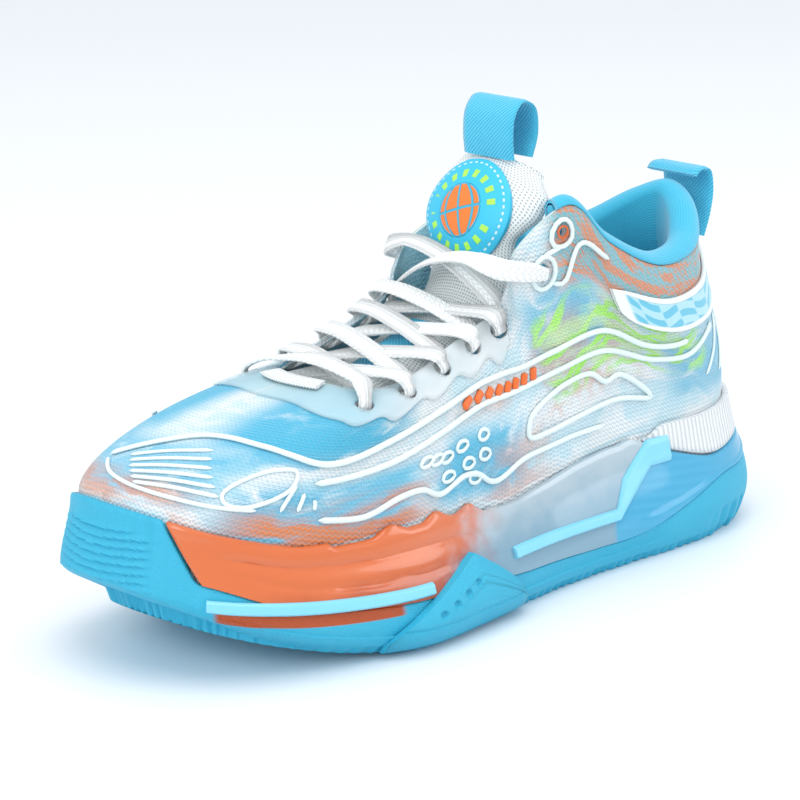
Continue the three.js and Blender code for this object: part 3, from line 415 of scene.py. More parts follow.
# %% Stations
STATIONS = [
    [1.0, -0.18, 0.42, 0.11, 0.42, 3.6, 0.717, -0.04, 0.62, 40, -4, 2],
    [0.987, 0.22, 0.408, 0.11, 0.408, 3.8, 0.713, 0.18, 0.62, 38, -4, 2],
    [0.943, 0.61, 0.37, 0.12, 0.37, 5, 0.697, 0.34, 0.612, 30, -4, 2],
    [0.867, 0.85, 0.33, 0.11, 0.33, 7, 0.667, 0.45, 0.611, 20, -4, 2],
    [0.773, 0.97, 0.32, 0.125, 0.32, 8, 0.62, 0.47, 0.635, 13, -6, 2],
    [0.683, 1.0, 0.325, 0.13, 0.325, 8, 0.573, 0.45, 0.675, 10, -9, 2],
    [0.6, 0.945, 0.315, 0.12, 0.315, 8, 0.527, 0.45, 0.715, 7, -12, 2],
    [0.52, 0.87, 0.285, 0.1, 0.285, 8, 0.5, 0.49, 0.75, 5, -16, 2],
    [0.447, 0.805, 0.297, 0.092, 0.297, 8, 0.492, 0.53, 0.805, 4, -20, 2],
    [0.373, 0.77, 0.325, 0.085, 0.325, 8, 0.484, 0.58, 0.905, 3, -28, 2.4],
    [0.3, 0.76, 0.345, 0.085, 0.335, 8, 0.41, 0.65, 1.0, 2, -34, 4],
    [0.22, 0.76, 0.345, 0.125, 0.27, 8, 0.343, 0.67, 0.88, 1, -28, 6],
    [0.14, 0.72, 0.34, 0.17, 0.225, 8, 0.253, 0.65, 0.79, 1, -22, 7],
    [0.067, 0.575, 0.345, 0.175, 0.235, 8, 0.167, 0.54, 0.8, 0, -22, 8],
    [0.02, 0.33, 0.355, 0.18, 0.245, 8, 0.113, 0.28, 0.868, -1, -24, 8],
    [0.0, 0.0, 0.36, 0.185, 0.25, 8, 0.093, 0, 0.9, -2, -28, 8],
]
INNER_Y = [-0.33, -0.575, -0.685, -0.7, -0.685, -0.685, -0.72, -0.785, -0.89, -1.0, -1.035, -0.96, -0.78,
           -0.52]
KEYS = list(STATIONS)
for i, inner_y in enumerate(INNER_Y):
    row = list(STATIONS[14 - i])
    front = max(0, (row[8] - 0.78) / 0.22) if row[0] > 0.2 else 0
    row[1], row[7] = inner_y, -row[7] * (1 - 0.16 * front)
    row[6] -= 0.045 * front
    row[8] -= 0.07 * front
    KEYS.append(row)
COUNT = len(KEYS)
TREAD, WALL, GAP, KNIT, LINING = 4, 2.4, 0.3, 1.5, 0.9  # thicknesses, and the gap between pieces
HEEL_STACK, BALL_STACK, HEEL_BEVEL = 27, 18, 5.5  # foot bed above the ground, and the heel's rounding


def lerp(a, b, t): return a + (b - a) * t
def clamp(t, a=0.0, b=1.0): return max(a, min(b, t))


def smooth(t, a, b):
    s = clamp((t - a) / (b - a))
    return s * s * (3 - 2 * s)


def keyed(u):
    s = (u % 1) * COUNT
    k, t = int(s), s - int(s)
    rows = [KEYS[(k + j) % COUNT] for j in (-1, 0, 1, 2)]
    return [0.5 * (2 * b + (c - a) * t + (2 * a - 5 * b + 4 * c - d) * t * t
                   + (3 * b - a - 3 * c + d) * t ** 3) for a, b, c, d in zip(*rows)]


def toeward(x): return max(0, (x / LENGTH - TOE_START) / (1 - TOE_START))
def ground(x): return TOE_SPRING * toeward(x) ** TOE_BEND + HEEL_BEVEL * max(0, 1 - x / LENGTH / 0.1) ** 2


class Station:
    known = {}

    def __init__(self, u):
        k, a, b = keyed(u), keyed(u + 0.002), keyed(u - 0.002)
        self.out = Vector(((a[1] - b[1]) * WIDTH * 0.5, (b[0] - a[0]) * LENGTH, 0)).normalized()
        self.x, self.y = k[0] * LENGTH, k[1] * WIDTH / 2
        self.off = COUNT * abs(u - round(u))
        self.low = ground(self.x)
        self.bed = self.low + lerp(HEEL_STACK, BALL_STACK, smooth(self.x / LENGTH, 0.25, 0.7))
        self.rim, self.cage, self.inset = k[2] * HEIGHT, k[4] * HEIGHT, k[5]
        self.fox = lerp(self.rim, self.low + k[3] * HEIGHT, clamp((self.off - 1.25) / 0.5))
        self.top = Vector((k[6] * LENGTH, k[7] * WIDTH / 2, k[8] * HEIGHT))
        self.handle_out, self.handle_up, self.foam = k[9], k[10], k[11]


def station(u):
    name = round(u, 6)
    if name not in Station.known:
        Station.known[name] = Station(u)
    return Station.known[name]


def edge(s, d, z): return Vector((s.x + s.out.x * d, s.y + s.out.y * d, z))


def wall(s, z, lift=0.0):
    t = clamp((z - s.low) / (s.rim - s.low))
    under = (4 + 13 * toeward(s.x)) * (1 - clamp(t / 0.3)) ** 2
    return edge(s, lift - under - s.inset * smooth(t, 0.25, 1), z)


def skin(u, v):
    """Outer face of the knit: v is 0 at the sole's rim and 1 at the opening."""
    s = station(u)
    foot = edge(s, -(s.inset + WALL) - GAP, s.rim)
    if v < 0:
        return foot.lerp(edge(s, -(s.inset + WALL) - GAP - 1, s.bed + GAP), -v)
    b = foot + s.out + Vector((0, 0, 0.4 * (s.top.z - s.rim)))
    c = s.top + s.out * s.handle_out + Vector((0, 0, s.handle_up))
    w = 1 - v
    return foot * w ** 3 + b * (3 * w * w * v) + c * (3 * w * v * v) + s.top * v ** 3


def axes(u, v):
    across = (skin(u + 0.004, v) - skin(u - 0.004, v)).normalized()
    up = (skin(u, min(v + 0.02, 1)) - skin(u, max(v - 0.02, -1))).normalized()
    return skin(u, v), across.cross(up).normalized(), up


def on_upper(u, v, lift=0.0, rise=0.0):
    at, out, up = axes(u, v)
    return at + out * lift + up * rise


def span(a, b, n): return [lerp(a, b, i / n) for i in range(n + 1)]
def u_of(key, side=1): return (key if side > 0 else COUNT - key) / COUNT
print("stations", COUNT)

# %% [markdown]
# ## Skinning
# Every soft or moulded skin is a grid of points: rings of columns, in rows. `sheet` closes it, caps its ends
# unless the rows close too, and writes both kinds of coordinate.

# %% Grid to mesh
def sheet(name, rows, place, finish, slot, body="shoe", wrap_rows=False, replaces=()):
    n, m = len(rows), len(rows[0])
    verts = [(p + OFFSET) / MM for row in rows for p in row]
    along = [[0.0] for _ in rows]
    for i, row in enumerate(rows):
        for j in range(m):
            along[i].append(along[i][-1] + (row[(j + 1) % m] - row[j]).length)
    up = [[0.0] * (m + 1)]
    for i in range(n):
        a, b = rows[i], rows[(i + 1) % n]
        up.append([up[-1][j] + (b[j % m] - a[j % m]).length for j in range(m + 1)])
    middle = along[n // 2]
    faces, places, weaves = [], [], []
    for i in range(n if wrap_rows else n - 1):
        for j in range(m):
            corners = [(i, j), (i, j + 1), (i + 1, j + 1), (i + 1, j)]
            faces.append([(a % n) * m + b % m for a, b in corners])
            places += [place(a, b) for a, b in corners]
            weaves += [(middle[b], up[a][b]) for a, b in corners]
    for i, flip in [] if wrap_rows else [(0, True), (n - 1, False)]:
        for j in range(m // 2 - 1):
            corners = [(i, j), (i, j + 1), (i, m - 2 - j), (i, m - 1 - j)]
            if flip:
                corners.reverse()
            ids = [a * m + b for a, b in corners]
            if len(set(ids)) < 4:
                continue
            faces.append(ids[::-1])
            places += [place(a, b) for a, b in corners[::-1]]
            weaves += [(verts[q][0] * MM, verts[q][1] * MM) for q in ids[::-1]]
    name = name.replace(" ", "_")
    mesh = bpy.data.meshes.new(name)
    mesh.from_pydata(verts, [], faces)
    for layer, values in (("place", places), ("weave", weaves)):
        mesh.uv_layers.new(name=layer).data.foreach_set("uv", [c for pair in values for c in pair])
    mesh.polygons.foreach_set("use_smooth", [True] * len(mesh.polygons))
    mesh.update()
    volume = sum(mesh.vertices[q.vertices[0]].co.dot(q.normal) * q.area for q in mesh.polygons)
    if volume < 0:
        mesh.flip_normals()
    return dress(mesh_object(name, mesh), finish, slot, body, replaces)


def mesh_object(name, mesh):
    made = bpy.data.objects.new(name, mesh)
    scene.collection.objects.link(made)
    return made


def dress(made, finish, slot, body="shoe", replaces=()):
    made.data.materials.append(finish.material)
    if replaces:
        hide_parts(*replaces)
    if body:
        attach(made, body)
    return made


def sharp(made, degrees=35):
    """Keep moulded creases crisp while the rest shades smoothly."""
    made.data.set_sharp_from_angle(angle=radians(degrees))
    return made


FINE = 480
around = [(i + 0.5) / FINE for i in range(FINE)]
def ring(fn): return [fn(station(u), u) for u in around]
def key_at(j): return COUNT * (j + 0.5) / FINE


# %% [markdown]
# ## Outsole
# A rubber cup from a two-part mould. The toe bumper has lapped steps, so that it can fold and drag. The edge
# is serrated under the forefoot and has deeper lugs at the heel.

# %% Outsole
def lapped(s, z):
    """Steps across the toe bumper, like weatherboards that fan out to the side."""
    here = (1 - smooth(s.off, 1.0, 1.2)) * smooth(z, s.low + 7, s.low + 9)
    here *= 1 - smooth(z, s.rim - 7, s.rim - 5)
    steps = (z - s.low - 8) / (s.rim - s.low - 14) * 7 + 0.9 * cos(s.off * 1.7)
    part = steps - floor(steps)
    return here * 0.75 * (min(1, (1 - part) * 1.6) - 0.3 - 1.2 * (part < 0.1))


def lugs(s, u, z):
    key = u * COUNT
    rise = z - s.low
    fine = (1 - smooth(rise, 2.6, 3.4)) * (1 if sin(key * 2 * pi * 5) > 0 else 0)
    heel = smooth(s.off, 11.6, 12.2) * (1 - smooth(rise, 9, 12)) * 1.8 * max(0, sin(key * 2 * pi * 3)) ** 0.5
    edge_step = 0.7 * smooth(rise, 6.5, 7.2) * smooth(s.off, 1.4, 1.8) * (1 - smooth(s.off, 10.2, 10.8))
    return -fine - heel - edge_step


def sole_row(t):
    def place(s, u):
        z = lerp(s.low, s.fox, t)
        lift = lapped(s, z) + lugs(s, u, z) - 0.5 * smooth(t, 0.97, 1)
        return wall(s, z, lift if t > 0 else lift - 0.3)
    return ring(place)


def inner_row(t):
    def place(s, u):
        z = lerp(s.fox - 0.2, s.low + TREAD, t)
        beside_foam = s.fox < s.bed + 1.5 or z < s.bed
        return wall(s, z, -WALL) if beside_foam else edge(s, -(s.inset + WALL), z)
    return ring(place)


SOLE_ROWS = 56
outsole_rows = [[Vector((p.x, p.y, ground(p.x))) for p in sole_row(0)]]
outsole_rows += [sole_row(t) for t in span(0, 1, SOLE_ROWS)[1:]]
outsole_rows += [inner_row(t) for t in (0, 0.25, 0.5, 0.75, 1)]
outsole = sharp(sheet("rubber outsole", outsole_rows, lambda i, j: (key_at(j), lerp(0, 60, i / SOLE_ROWS)),
                      rubber, "rubber_cyan", replaces=("outsole",)))
print("outsole points", len(outsole.data.vertices))

# %% [markdown]
# ## Side cage and foam
# The cage is a clear moulding bonded over the foam. Contour ridges at the forefoot follow its crests. At the
# heel it dips, and the fluted foam wedge shows above it.

# %% Cage
PEAKS = [4.55, 5.45, 6.2]
CREST, CREST_HALF = 3, 0.3  # how high a peak stands, and its half width in keys


def cage_top(s):
    key = s.off
    if 3.6 < key < 6.6:
        dip = CREST * min(1, min(abs(key - p) for p in PEAKS) / CREST_HALF)
    else:
        dip = CREST * (0.5 if key < 3.6 else 0.8) * (1 - smooth(key, 9.8, 10.2))
    return s.cage - dip * clamp((key - 2.6) / 0.6)


def ridges(s, t):
    front = smooth(s.off, 1.9, 2.6) * (1 - smooth(s.off, 6.2, 6.8))
    level = t * (cage_top(s) - s.fox) / max(1, s.cage - s.fox)
    wave = abs(sin(pi * (level * 3.0 + 0.15))) ** 0.6
    swell = front * (1.1 * wave - 1.1) * smooth(t, 0.25, 0.4)
    return swell + 0.5 * smooth(s.off, 9.9, 10.4) * (1 - smooth(t, 0.1, 0.2))


CAGE_START, CAGE_LEAN = 1.79, 1.06 / 60  # the front end leans along the bumper's slanted edge


def cage_at(u, t, inner=False):
    lean = CAGE_LEAN * (1 if u < 0.5 else -1) * (1 - smooth(station(u).off, CAGE_START, 2.7))
    s = station(u - lean * t)
    z = lerp(station(u).fox + GAP, cage_top(s), t)
    return wall(s, z, -WALL if inner else ridges(s, t) - 0.6 * smooth(t, 0.95, 1))


cage_us = [u for u in around if COUNT * abs(u - round(u)) > CAGE_START]
sections = [[cage_at(u, t) for t in span(0, 1, 34)] + [cage_at(u, t, True) for t in (1, 0.5, 0)]
            for u in cage_us]


def on_cage(i, j):
    i = min(i, len(cage_us) - 1)
    return COUNT * cage_us[i], sections[i][j % len(sections[0])].z


sharp(sheet("side cage shell", sections, on_cage, cage, "cage", replaces=("side_cage",)), 50)


def foam_shows(s): return smooth(s.off, 10.35, 10.9)
def foam_step(s): return lerp(s.bed, s.cage + GAP, smooth(s.off, 9.9, 10.2))
def foam_lip(s): return lerp(foam_step(s) + 0.4, s.rim, foam_shows(s))
def foam_side(s): return -WALL - 2 * GAP - 2 * smooth(toeward(s.x), 0.4, 0.8)
def core_row(t): return ring(lambda s, u: wall(s, lerp(s.low + TREAD + GAP, foam_step(s), t), foam_side(s)))


def lip_row(t):
    bulge = 0.9 * sin(pi * clamp(t, 0.03, 0.97)) ** 0.5 - 0.4
    return ring(lambda s, u: wall(s, lerp(foam_step(s), foam_lip(s), t),
                                  lerp(foam_side(s), bulge, foam_shows(s))))


foam_rows = [core_row(t) for t in (0, 0.4, 0.8, 1)] + [lip_row(t) for t in (0.06, 0.2, 0.4, 0.6, 0.8, 0.94, 1)]
foam_rows += [ring(lambda s, u: edge(s, -(s.inset + WALL), top(s))) for top in (foam_lip, lambda s: s.bed)]
sheet("foam midsole", foam_rows, lambda i, j: (key_at(j), i), foam, "foam_white",
      replaces=("midsole",))
print("cage sections", len(sections))


# %% [markdown]
# ## Bands on the wall
# Two painted bands and the outrigger, a rubber wing that stops the foot rolling outward.

# %% Bands
def band(name, k0, k1, low_at, high_at, lift_at, finish, slot, replaces, steps=160, rows=12):
    us = span(u_of(k0), u_of(k1), steps)
    out = []
    for u in us:
        s = station(u)
        a, b = low_at(s, u), high_at(s, u)
        outer = [wall(s, lerp(a, b, t), lift_at(s, u, t)) for t in span(0, 1, rows)]
        out.append(outer + [wall(s, lerp(b, a, t), -0.4) for t in (0, 0.5, 1)])

    def place(i, j): return COUNT * us[min(i, steps)], out[min(i, steps)][j % len(out[0])].z
    return sharp(sheet(name, out, place, finish, slot, replaces=replaces), 45)


STRIPE_BEND = 0.335  # share of the length where the rear band steps up


def before_bend(s, reach): return clamp((STRIPE_BEND - s.x / LENGTH) / reach)
def stripe_low(s, u): return STRIPE_LEVEL + STRIPE_RISE * s.low + 15 * before_bend(s, 0.07)
def stripe_high(s, u): return stripe_low(s, u) + 4 + 5 * before_bend(s, 0.02)
def flat_band(s, u, t): return 0.5 + 0.8 * min(1, 6 * t, 6 * (1 - t))
for name, k0, k1 in [("outer_front_stripe", 1.9, 5.0), ("outer_rear_stripe", 6.9, 10.9),
                     ("inner_stripe", 28.1, 19.1)]:
    band(name + "_paint", k0, k1, stripe_low, stripe_high, flat_band, stripe, "stripe", (name,))

WING = [4.25, 5.9, 7.05]  # keys of its start, its peak and its end
HOLES = [(5.0, 13), (5.25, 15), (5.5, 17), (5.75, 19)]


def wing_top(s, u):
    start, peak, end = WING
    key = u * COUNT
    t = (key - start) / (peak - start) if key < peak else (end - key) / (end - peak)
    return lerp(5.5, 27.5, clamp(t) ** 0.75)


def wing_lift(s, u, t):
    top = wing_top(s, u)
    fold = lerp(2.5, top, t)
    keel = 3.2 * sin(pi * clamp(0.12 + t * 0.8)) * clamp((top - 4) / 10)
    groove = 0.5 * (1 - clamp(abs(fold - 9.5) / 0.7))
    holes = sum(clamp(1.6 - ((COUNT * u - k) * 18) ** 2 - (fold - z) ** 2, 0, 1) for k, z in HOLES)
    return 1.5 + keel - groove - 1.2 * holes


band("outrigger_wing", WING[0], WING[2], lambda s, u: 2.0, wing_top, wing_lift, rubber, "rubber_cyan",
     ("outrigger",), 220, 48)
print("sole done")

# %% [markdown]
# ## Upper
# The knit is one sock-like piece. Lace holes are punched through it with a boolean cut, as a die would.

# %% Knit upper
EYELETS = [[2.4, 0.86, 2.4], [3.55, 0.88, 3.55], [4.7, 0.88, 4.7], [5.75, 0.88, 5.75], [6.95, 0.88, 6.95],
           [9.4, 0.82, 8.6]]  # station and height of each hole, and where its lace crosses the edge
GROMMET = (9.8, 0.92)
EYELET_R, GROMMET_R, PUNCH_SIDES, PUNCH_REACH = 3.2, 1.7, 24, 12


def punch(made):
    cutter_mesh = bpy.data.meshes.new("punch")
    verts, faces, n = [], [], PUNCH_SIDES
    for side in (1, -1):
        for key, v, radius in [(k, v, EYELET_R) for k, v, _ in EYELETS] + [(*GROMMET, GROMMET_R)]:
            at, out, up = axes(u_of(key, side), v)
            right = up.cross(out)
            first = len(verts)
            for depth in (-PUNCH_REACH, PUNCH_REACH):
                for a in range(n):
                    t = 2 * pi * a / n
                    verts.append((at + (right * cos(t) + up * sin(t)) * radius + out * depth + OFFSET) / MM)
            for a in range(n):
                b = (a + 1) % n
                faces.append([first + a, first + b, first + n + b, first + n + a])
            faces += [list(range(first + n - 1, first - 1, -1)), list(range(first + n, first + 2 * n))]
    cutter_mesh.from_pydata(verts, [], faces)
    cutter = mesh_object("punch", cutter_mesh)
    cut = made.modifiers.new("punched", "BOOLEAN")
    cut.operation, cut.solver, cut.object = "DIFFERENCE", "EXACT", cutter
    bpy.context.view_layer.update()
    made_mesh = bpy.data.meshes.new_from_object(made.evaluated_get(bpy.context.evaluated_depsgraph_get()))
    made.modifiers.clear()
    made.data = made_mesh
    bpy.data.objects.remove(cutter)
    return made


V_ROWS = [-1, -0.5] + span(0, 1, 44)
BACK_ROWS = [1, 0.9, 0.75, 0.6, 0.4, 0.2, 0, -1]
INSIDE = 3  # the inner face is mapped this far below, so that it stays undyed
knit_rows = [[skin(u, v) for u in around] for v in V_ROWS]
knit_rows += [[on_upper(u, v, -KNIT) for u in around] for v in BACK_ROWS]
knit_v = V_ROWS + [v - INSIDE for v in BACK_ROWS] + [-1]
punch(sheet("knit upper", knit_rows, lambda i, j: (key_at(j), knit_v[i]), knit, "knit", wrap_rows=True,
            replaces=("knit_upper",)))


def layer(name, us, rows, lo, hi, finish, slot, replaces):
    """A thin shaped layer on the upper between two lifts."""
    out = []
    for u in us:
        vs = rows(u)
        out.append([on_upper(u, v, hi) for v in vs] + [on_upper(u, v, lo) for v in reversed(vs)])
    m = len(rows(us[0]))

    def place(i, j):
        u = us[min(i, len(us) - 1)]
        vs, j = rows(u), j % (2 * m)
        return (COUNT * (u % 1), vs[j] if j < m else vs[2 * m - 1 - j])
    return sheet(name, out, place, finish, slot, replaces=replaces)


def stay_edge(u):
    key = COUNT * abs(u - round(u))
    return 0.85 - 0.14 * smooth(key, 0.5, 3) + 0.035 * cos((key - 3) * 2 * pi / 1.1) * clamp(key - 2)


punch(layer("eyestay film", span(-u_of(7.5), u_of(7.5), 200), lambda u: span(stay_edge(u), 1, 8), 0.3, 0.9,
            film, "film", ("eyestay_panel",)))
layer("throat bar tape", span(-u_of(1.1), u_of(1.1), 30), lambda u: span(0.93, 0.99, 4), 1.4, 2.2, mesh_cloth,
      "mesh_white", ("throat_bar",))


def badge_rows(u):
    key = COUNT * min(u, 1 - u)
    end = sqrt(max(0, 1 - (1 - clamp((key - 10.55) / 1.05)) ** 2))
    return [0.68 + 0.12 * end * t for t in (-1, -0.93, -0.8, -0.4, 0, 0.4, 0.8, 0.93, 1)]


layer("heel badge panel", span(u_of(10.7), u_of(19.3), 120), badge_rows, 0.3, 1.6, badge, "raised_white",
      ("heel_badge",))
print("upper done")

# %% [markdown]
# ## Collar
# Foam under a lining that rolls over the edge. Its channels are shaped here rather than simulated, because
# the lining is glued to the foam and keeps its form.

# %% Collar
PAD_START = 0.44  # where the padding begins, as a share of the knit's height


def pad(u, v): return max(0.8, station(u).foam * (0.35 + 0.65 * smooth(v, 0.41, 0.8)))
def depth(u, v): return KNIT + 2 * GAP + LINING + pad(u, v)


def rolled(u, outer, thickness):
    r = thickness / 2
    return [on_upper(u, 1, outer - r + r * cos(a), GAP + 0.9 * r * sin(a)) for a in span(0, pi, 16)]


collar_us, collar_vs = span(19.5 / 60, 40.5 / 60, 220), span(PAD_START, 0.99, 20)
collar = []
for u in collar_us:
    channel = 0.8 * abs(sin(COUNT * u * pi / 1.25)) ** 0.5
    puff = lambda v: channel * sin(pi * clamp((v - PAD_START) / 0.55))
    collar.append(rolled(u, 0.15, depth(u, 1) + 0.2)
                  + [on_upper(u, v, -depth(u, v) - puff(v)) for v in reversed(collar_vs)]
                  + [on_upper(u, v, -depth(u, v) + LINING) for v in collar_vs]
                  + rolled(u, -LINING, depth(u, 1) - 2 * LINING)[::-1])
collar_lining = sheet("padded collar lining", collar, lambda i, j: (COUNT * collar_us[min(i, 220)], j / 10),
                      lining, "lining", replaces=("collar_lining",))
print("collar points", len(collar_lining.data.vertices))


# %% [markdown]
# ## Raised lines
# Printed in thick satin ink in real life. Each is a low rounded rib swept along a smooth curve on the knit.

# %% Curves
class Path:
    """A smooth curve through points, sampled densely."""
    def __init__(self, points, closed=False, per=16):
        n = len(points)

        def get(i):
            if closed:
                return points[i % n]
            return points[0] * 2 - points[1] if i < 0 else points[-1] * 2 - points[-2] if i >= n else points[i]
        self.points, self.per = [], per
        for i in range(n if closed else n - 1):
            a, b, c, d = (get(i + j) for j in (-1, 0, 1, 2))
            t0, t1, t2 = (max(1e-4, (q - p).length) ** 0.5 for p, q in ((a, b), (b, c), (c, d)))
            m1 = ((b - a) / t0 - (c - a) / (t0 + t1) + (c - b) / t1) * t1
            m2 = ((c - b) / t1 - (d - b) / (t1 + t2) + (d - c) / t2) * t1
            square, cube = c * 3 - b * 3 - m1 * 2 - m2, b * 2 - c * 2 + m1 + m2
            self.points += [b + m1 * t + square * t * t + cube * t ** 3 for t in (k / per for k in range(per))]
        self.points.append(points[0] if closed else points[-1])
        self.far = [0.0]
        for p, q in zip(self.points, self.points[1:]):
            self.far.append(self.far[-1] + (q - p).length)

    def sample(self, index):
        k = min(int(index), len(self.points) - 2)
        return self.points[k].lerp(self.points[k + 1], index - k)

    def at(self, share):
        want = clamp(share) * self.far[-1]
        k = min(max(next((i for i, f in enumerate(self.far) if f >= want), 1), 1), len(self.far) - 1)
        a, b = self.far[k - 1], self.far[k]
        return self.sample(k - 1 + (want - a) / max(b - a, 1e-9))

    def tangent(self, share):
        return (self.at(min(share + 0.004, 1)) - self.at(max(share - 0.004, 0))).normalized()


# %% Ribs
KEY_MM, V_MM = 18, 60  # about what one station and the knit's full height measure
ROUND = [(cos(a) * 0.5, sin(a)) for a in span(0, pi, 6)]


def rib_rows(side, points, width=2.2, lift=0.3, height=1.0, closed=False, step=1.6):
    path = Path([Vector((k * KEY_MM, v * V_MM, 0)) for k, v in points], closed)
    count = max(8, int(path.far[-1] / step))
    shares = [i / count for i in range(count if closed else count + 1)]
    spots = [axes(u_of(p.x / KEY_MM, side), p.y / V_MM) for p in (path.at(t) for t in shares)]
    rows, n = [], len(spots)
    for i, (at, out, up) in enumerate(spots):
        ahead = spots[(i + 1) % n if closed else min(i + 1, n - 1)][0]
        behind = spots[(i - 1) % n if closed else max(i - 1, 0)][0]
        sideways = (ahead - behind).cross(out).normalized()
        end = 1 if closed else sqrt(max(0.05, min(1, 4 * i * step / width, 4 * (n - 1 - i) * step / width)))
        rows.append([at + sideways * (w * width * end) + out * (lift + h * height * end) for w, h in ROUND])
    return rows


def rib(name, parts, finish=raised, slot="raised_white", replaces=()):
    """Several ribs as one piece: the extra ones are joined to the first."""
    made = [sheet(f"{name}.{i}" if i else name, rows, lambda a, b: (a, b), finish, slot, None, closed,
                  () if i else replaces) for i, (rows, closed) in enumerate(parts)]
    if len(made) > 1:
        with bpy.context.temp_override(active_object=made[0], object=made[0], selected_objects=made,
                                       selected_editable_objects=made):
            bpy.ops.object.join()
    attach(made[0], "shoe")


def open_rib(side, points, **style): return rib_rows(side, points, **style), False
def closed_rib(side, points, **style): return rib_rows(side, points, closed=True, **style), True


def circle(key, v, side, r, count=10):
    at = skin(u_of(key, side), v)
    per_key = (skin(u_of(key + 0.1, side), v) - at).length * 10
    per_v = (skin(u_of(key, side), v - 0.05) - at).length * 20
    turns = [2 * pi * i / count for i in range(count)]
    return [[key + r * cos(a) / per_key, v + r * sin(a) / per_v] for a in turns]


LINES = {
    "upper_line": [[1.55, 0.56], [2.85, 0.47], [3.85, 0.53], [5.1, 0.58], [6.9, 0.62], [7.9, 0.57],
                   [8.8, 0.51], [9.6, 0.47], [10.3, 0.45], [11.2, 0.43], [12.1, 0.48]],
    "lower_line": [[2.9, 0.36], [4.25, 0.38], [5.35, 0.44], [6.7, 0.5], [8, 0.46], [8.85, 0.41], [9.75, 0.37],
                   [10.4, 0.34], [11.2, 0.34], [12, 0.38], [13, 0.5]],
    "wave_line": [[3.4, 0.13], [4.1, 0.09], [4.65, 0.14], [5.1, 0.14], [5.55, 0.08], [6.05, 0.14], [6.4, 0.14],
                  [6.8, 0.09], [7.6, 0.13], [8.6, 0.1], [9.6, 0.06]],
}
OVER_TOE = [[-0.6, 0.33], [0, 0.47], [0.6, 0.57]]  # the outer upper line starts across the toe
CLOUD = [[7.9, 0.3], [8.7, 0.33], [9.5, 0.3], [9.75, 0.23], [10.1, 0.24], [10.7, 0.13], [9.9, 0.14],
         [8.3, 0.18], [7.8, 0.22]]
for name, side in (("outer", 1), ("inner", -1)):
    for line, points in LINES.items():
        upper_line = line == "upper_line"
        reach = OVER_TOE if side > 0 and upper_line else []
        rib(f"{name}_{line}_print", [open_rib(side, reach + points, lift=0.5 if upper_line else 0.2)],
            replaces=(f"{name}_{line}",))
    rib(f"{name}_cloud_print", [closed_rib(side, CLOUD)], replaces=(f"{name}_cloud_line",))
    eye = EYELETS[-1]
    lower, top = circle(eye[0], eye[1], side, 5.4), circle(GROMMET[0], GROMMET[1] - 0.005, side, 4.6)
    style = {"lift": 0.4 if side > 0 else 1.5, "height": 1.1, "width": 1.9}
    joint = [lower[2], [lerp(lower[2][0], top[7][0], 0.5), lerp(lower[2][1], top[7][1], 0.5)], top[7]]
    tail = [lower[8], [9.65, 0.73], [10.1, 0.86], [10.9, 0.92]]
    rib(f"{name}_collar_print", [closed_rib(side, lower, **style), closed_rib(side, top, **style),
                                 open_rib(side, joint, **style), open_rib(side, tail, **style)],
        replaces=(f"{name}_collar_ring",))
print("raised lines on both sides")

# %% [markdown]
# Smaller prints: six bars fan over the toe, rows of capsules sit below the lace panel, and a row of slanted
# orange dashes runs along the quarter. They are plain shapes and spell nothing.

# %% Small prints
thin = {"width": 1.5, "height": 0.7, "lift": 0.15, "step": 1.2}
CAPSULES = [(5.05, 0.29), (5.3, 0.28), (5.55, 0.27), (5.9, 0.3), (6.45, 0.33), (5.7, 0.16), (6.55, 0.23),
            (6.15, 0.2), (6.35, 0.12)]
CAPSULE = [[-0.1, -0.018], [0.06, -0.022], [0.13, 0.004], [0.06, 0.024], [-0.1, 0.028], [-0.15, 0.004]]
DASH = [[-0.06, -0.028], [0, 0], [0.08, 0.028]]
TOE_ARC = [[-0.6, 0.31], [-0.2, 0.24], [0.3, 0.2], [0.9, 0.18], [1.6, 0.18], [2.4, 0.2]]
TOE_OVAL = [[1.75, 0.28], [1.95, 0.42], [2.35, 0.44], [2.6, 0.33], [2.3, 0.22], [1.95, 0.21]]
HEEL_RAYS = [[[12.3, 0.2], [12.8, 0.33], [13.4, 0.5]], [[12.9, 0.17], [13.4, 0.32], [14.0, 0.47]]]
toe_bars = [([-0.15 + 0.12 * i, 0.365 - 0.03 * i], [0.95 + 0.16 * i, 0.5 - 0.05 * i]) for i in range(6)]
toe_bars += [([2.75 + 0.25 * i, 0.2], [2.62 + 0.25 * i, 0.36 - 0.05 * i]) for i in range(3)]
dashes = [(5.75 + 0.36 * i, 0.535 - 0.006 * i + 0.02 * sin(i * 0.5)) for i in range(8)]


def moved(shape, k, v): return [[k + dk, v + dv] for dk, dv in shape]


bowed = [[a, [(a[0] + b[0]) / 2, (a[1] + b[1]) / 2 + 0.012], b] for a, b in toe_bars]
rib("outer_toe_bars", [open_rib(1, p, **thin) for p in bowed + [TOE_ARC]] + [closed_rib(1, TOE_OVAL, **thin)])
for name, side in (("outer", 1), ("inner", -1)):
    rib(f"{name}_capsules", [closed_rib(side, moved(CAPSULE, k, v), **thin) for k, v in CAPSULES])
    rib(f"{name}_dashes", [open_rib(side, moved(DASH, k, v), width=3.2, height=0.8, lift=0.2, step=1.0)
                           for k, v in dashes], orange_print, "orange_trim")
    rib(f"{name}_heel_rays", [open_rib(side, p, **thin) for p in HEEL_RAYS])
print("prints done")
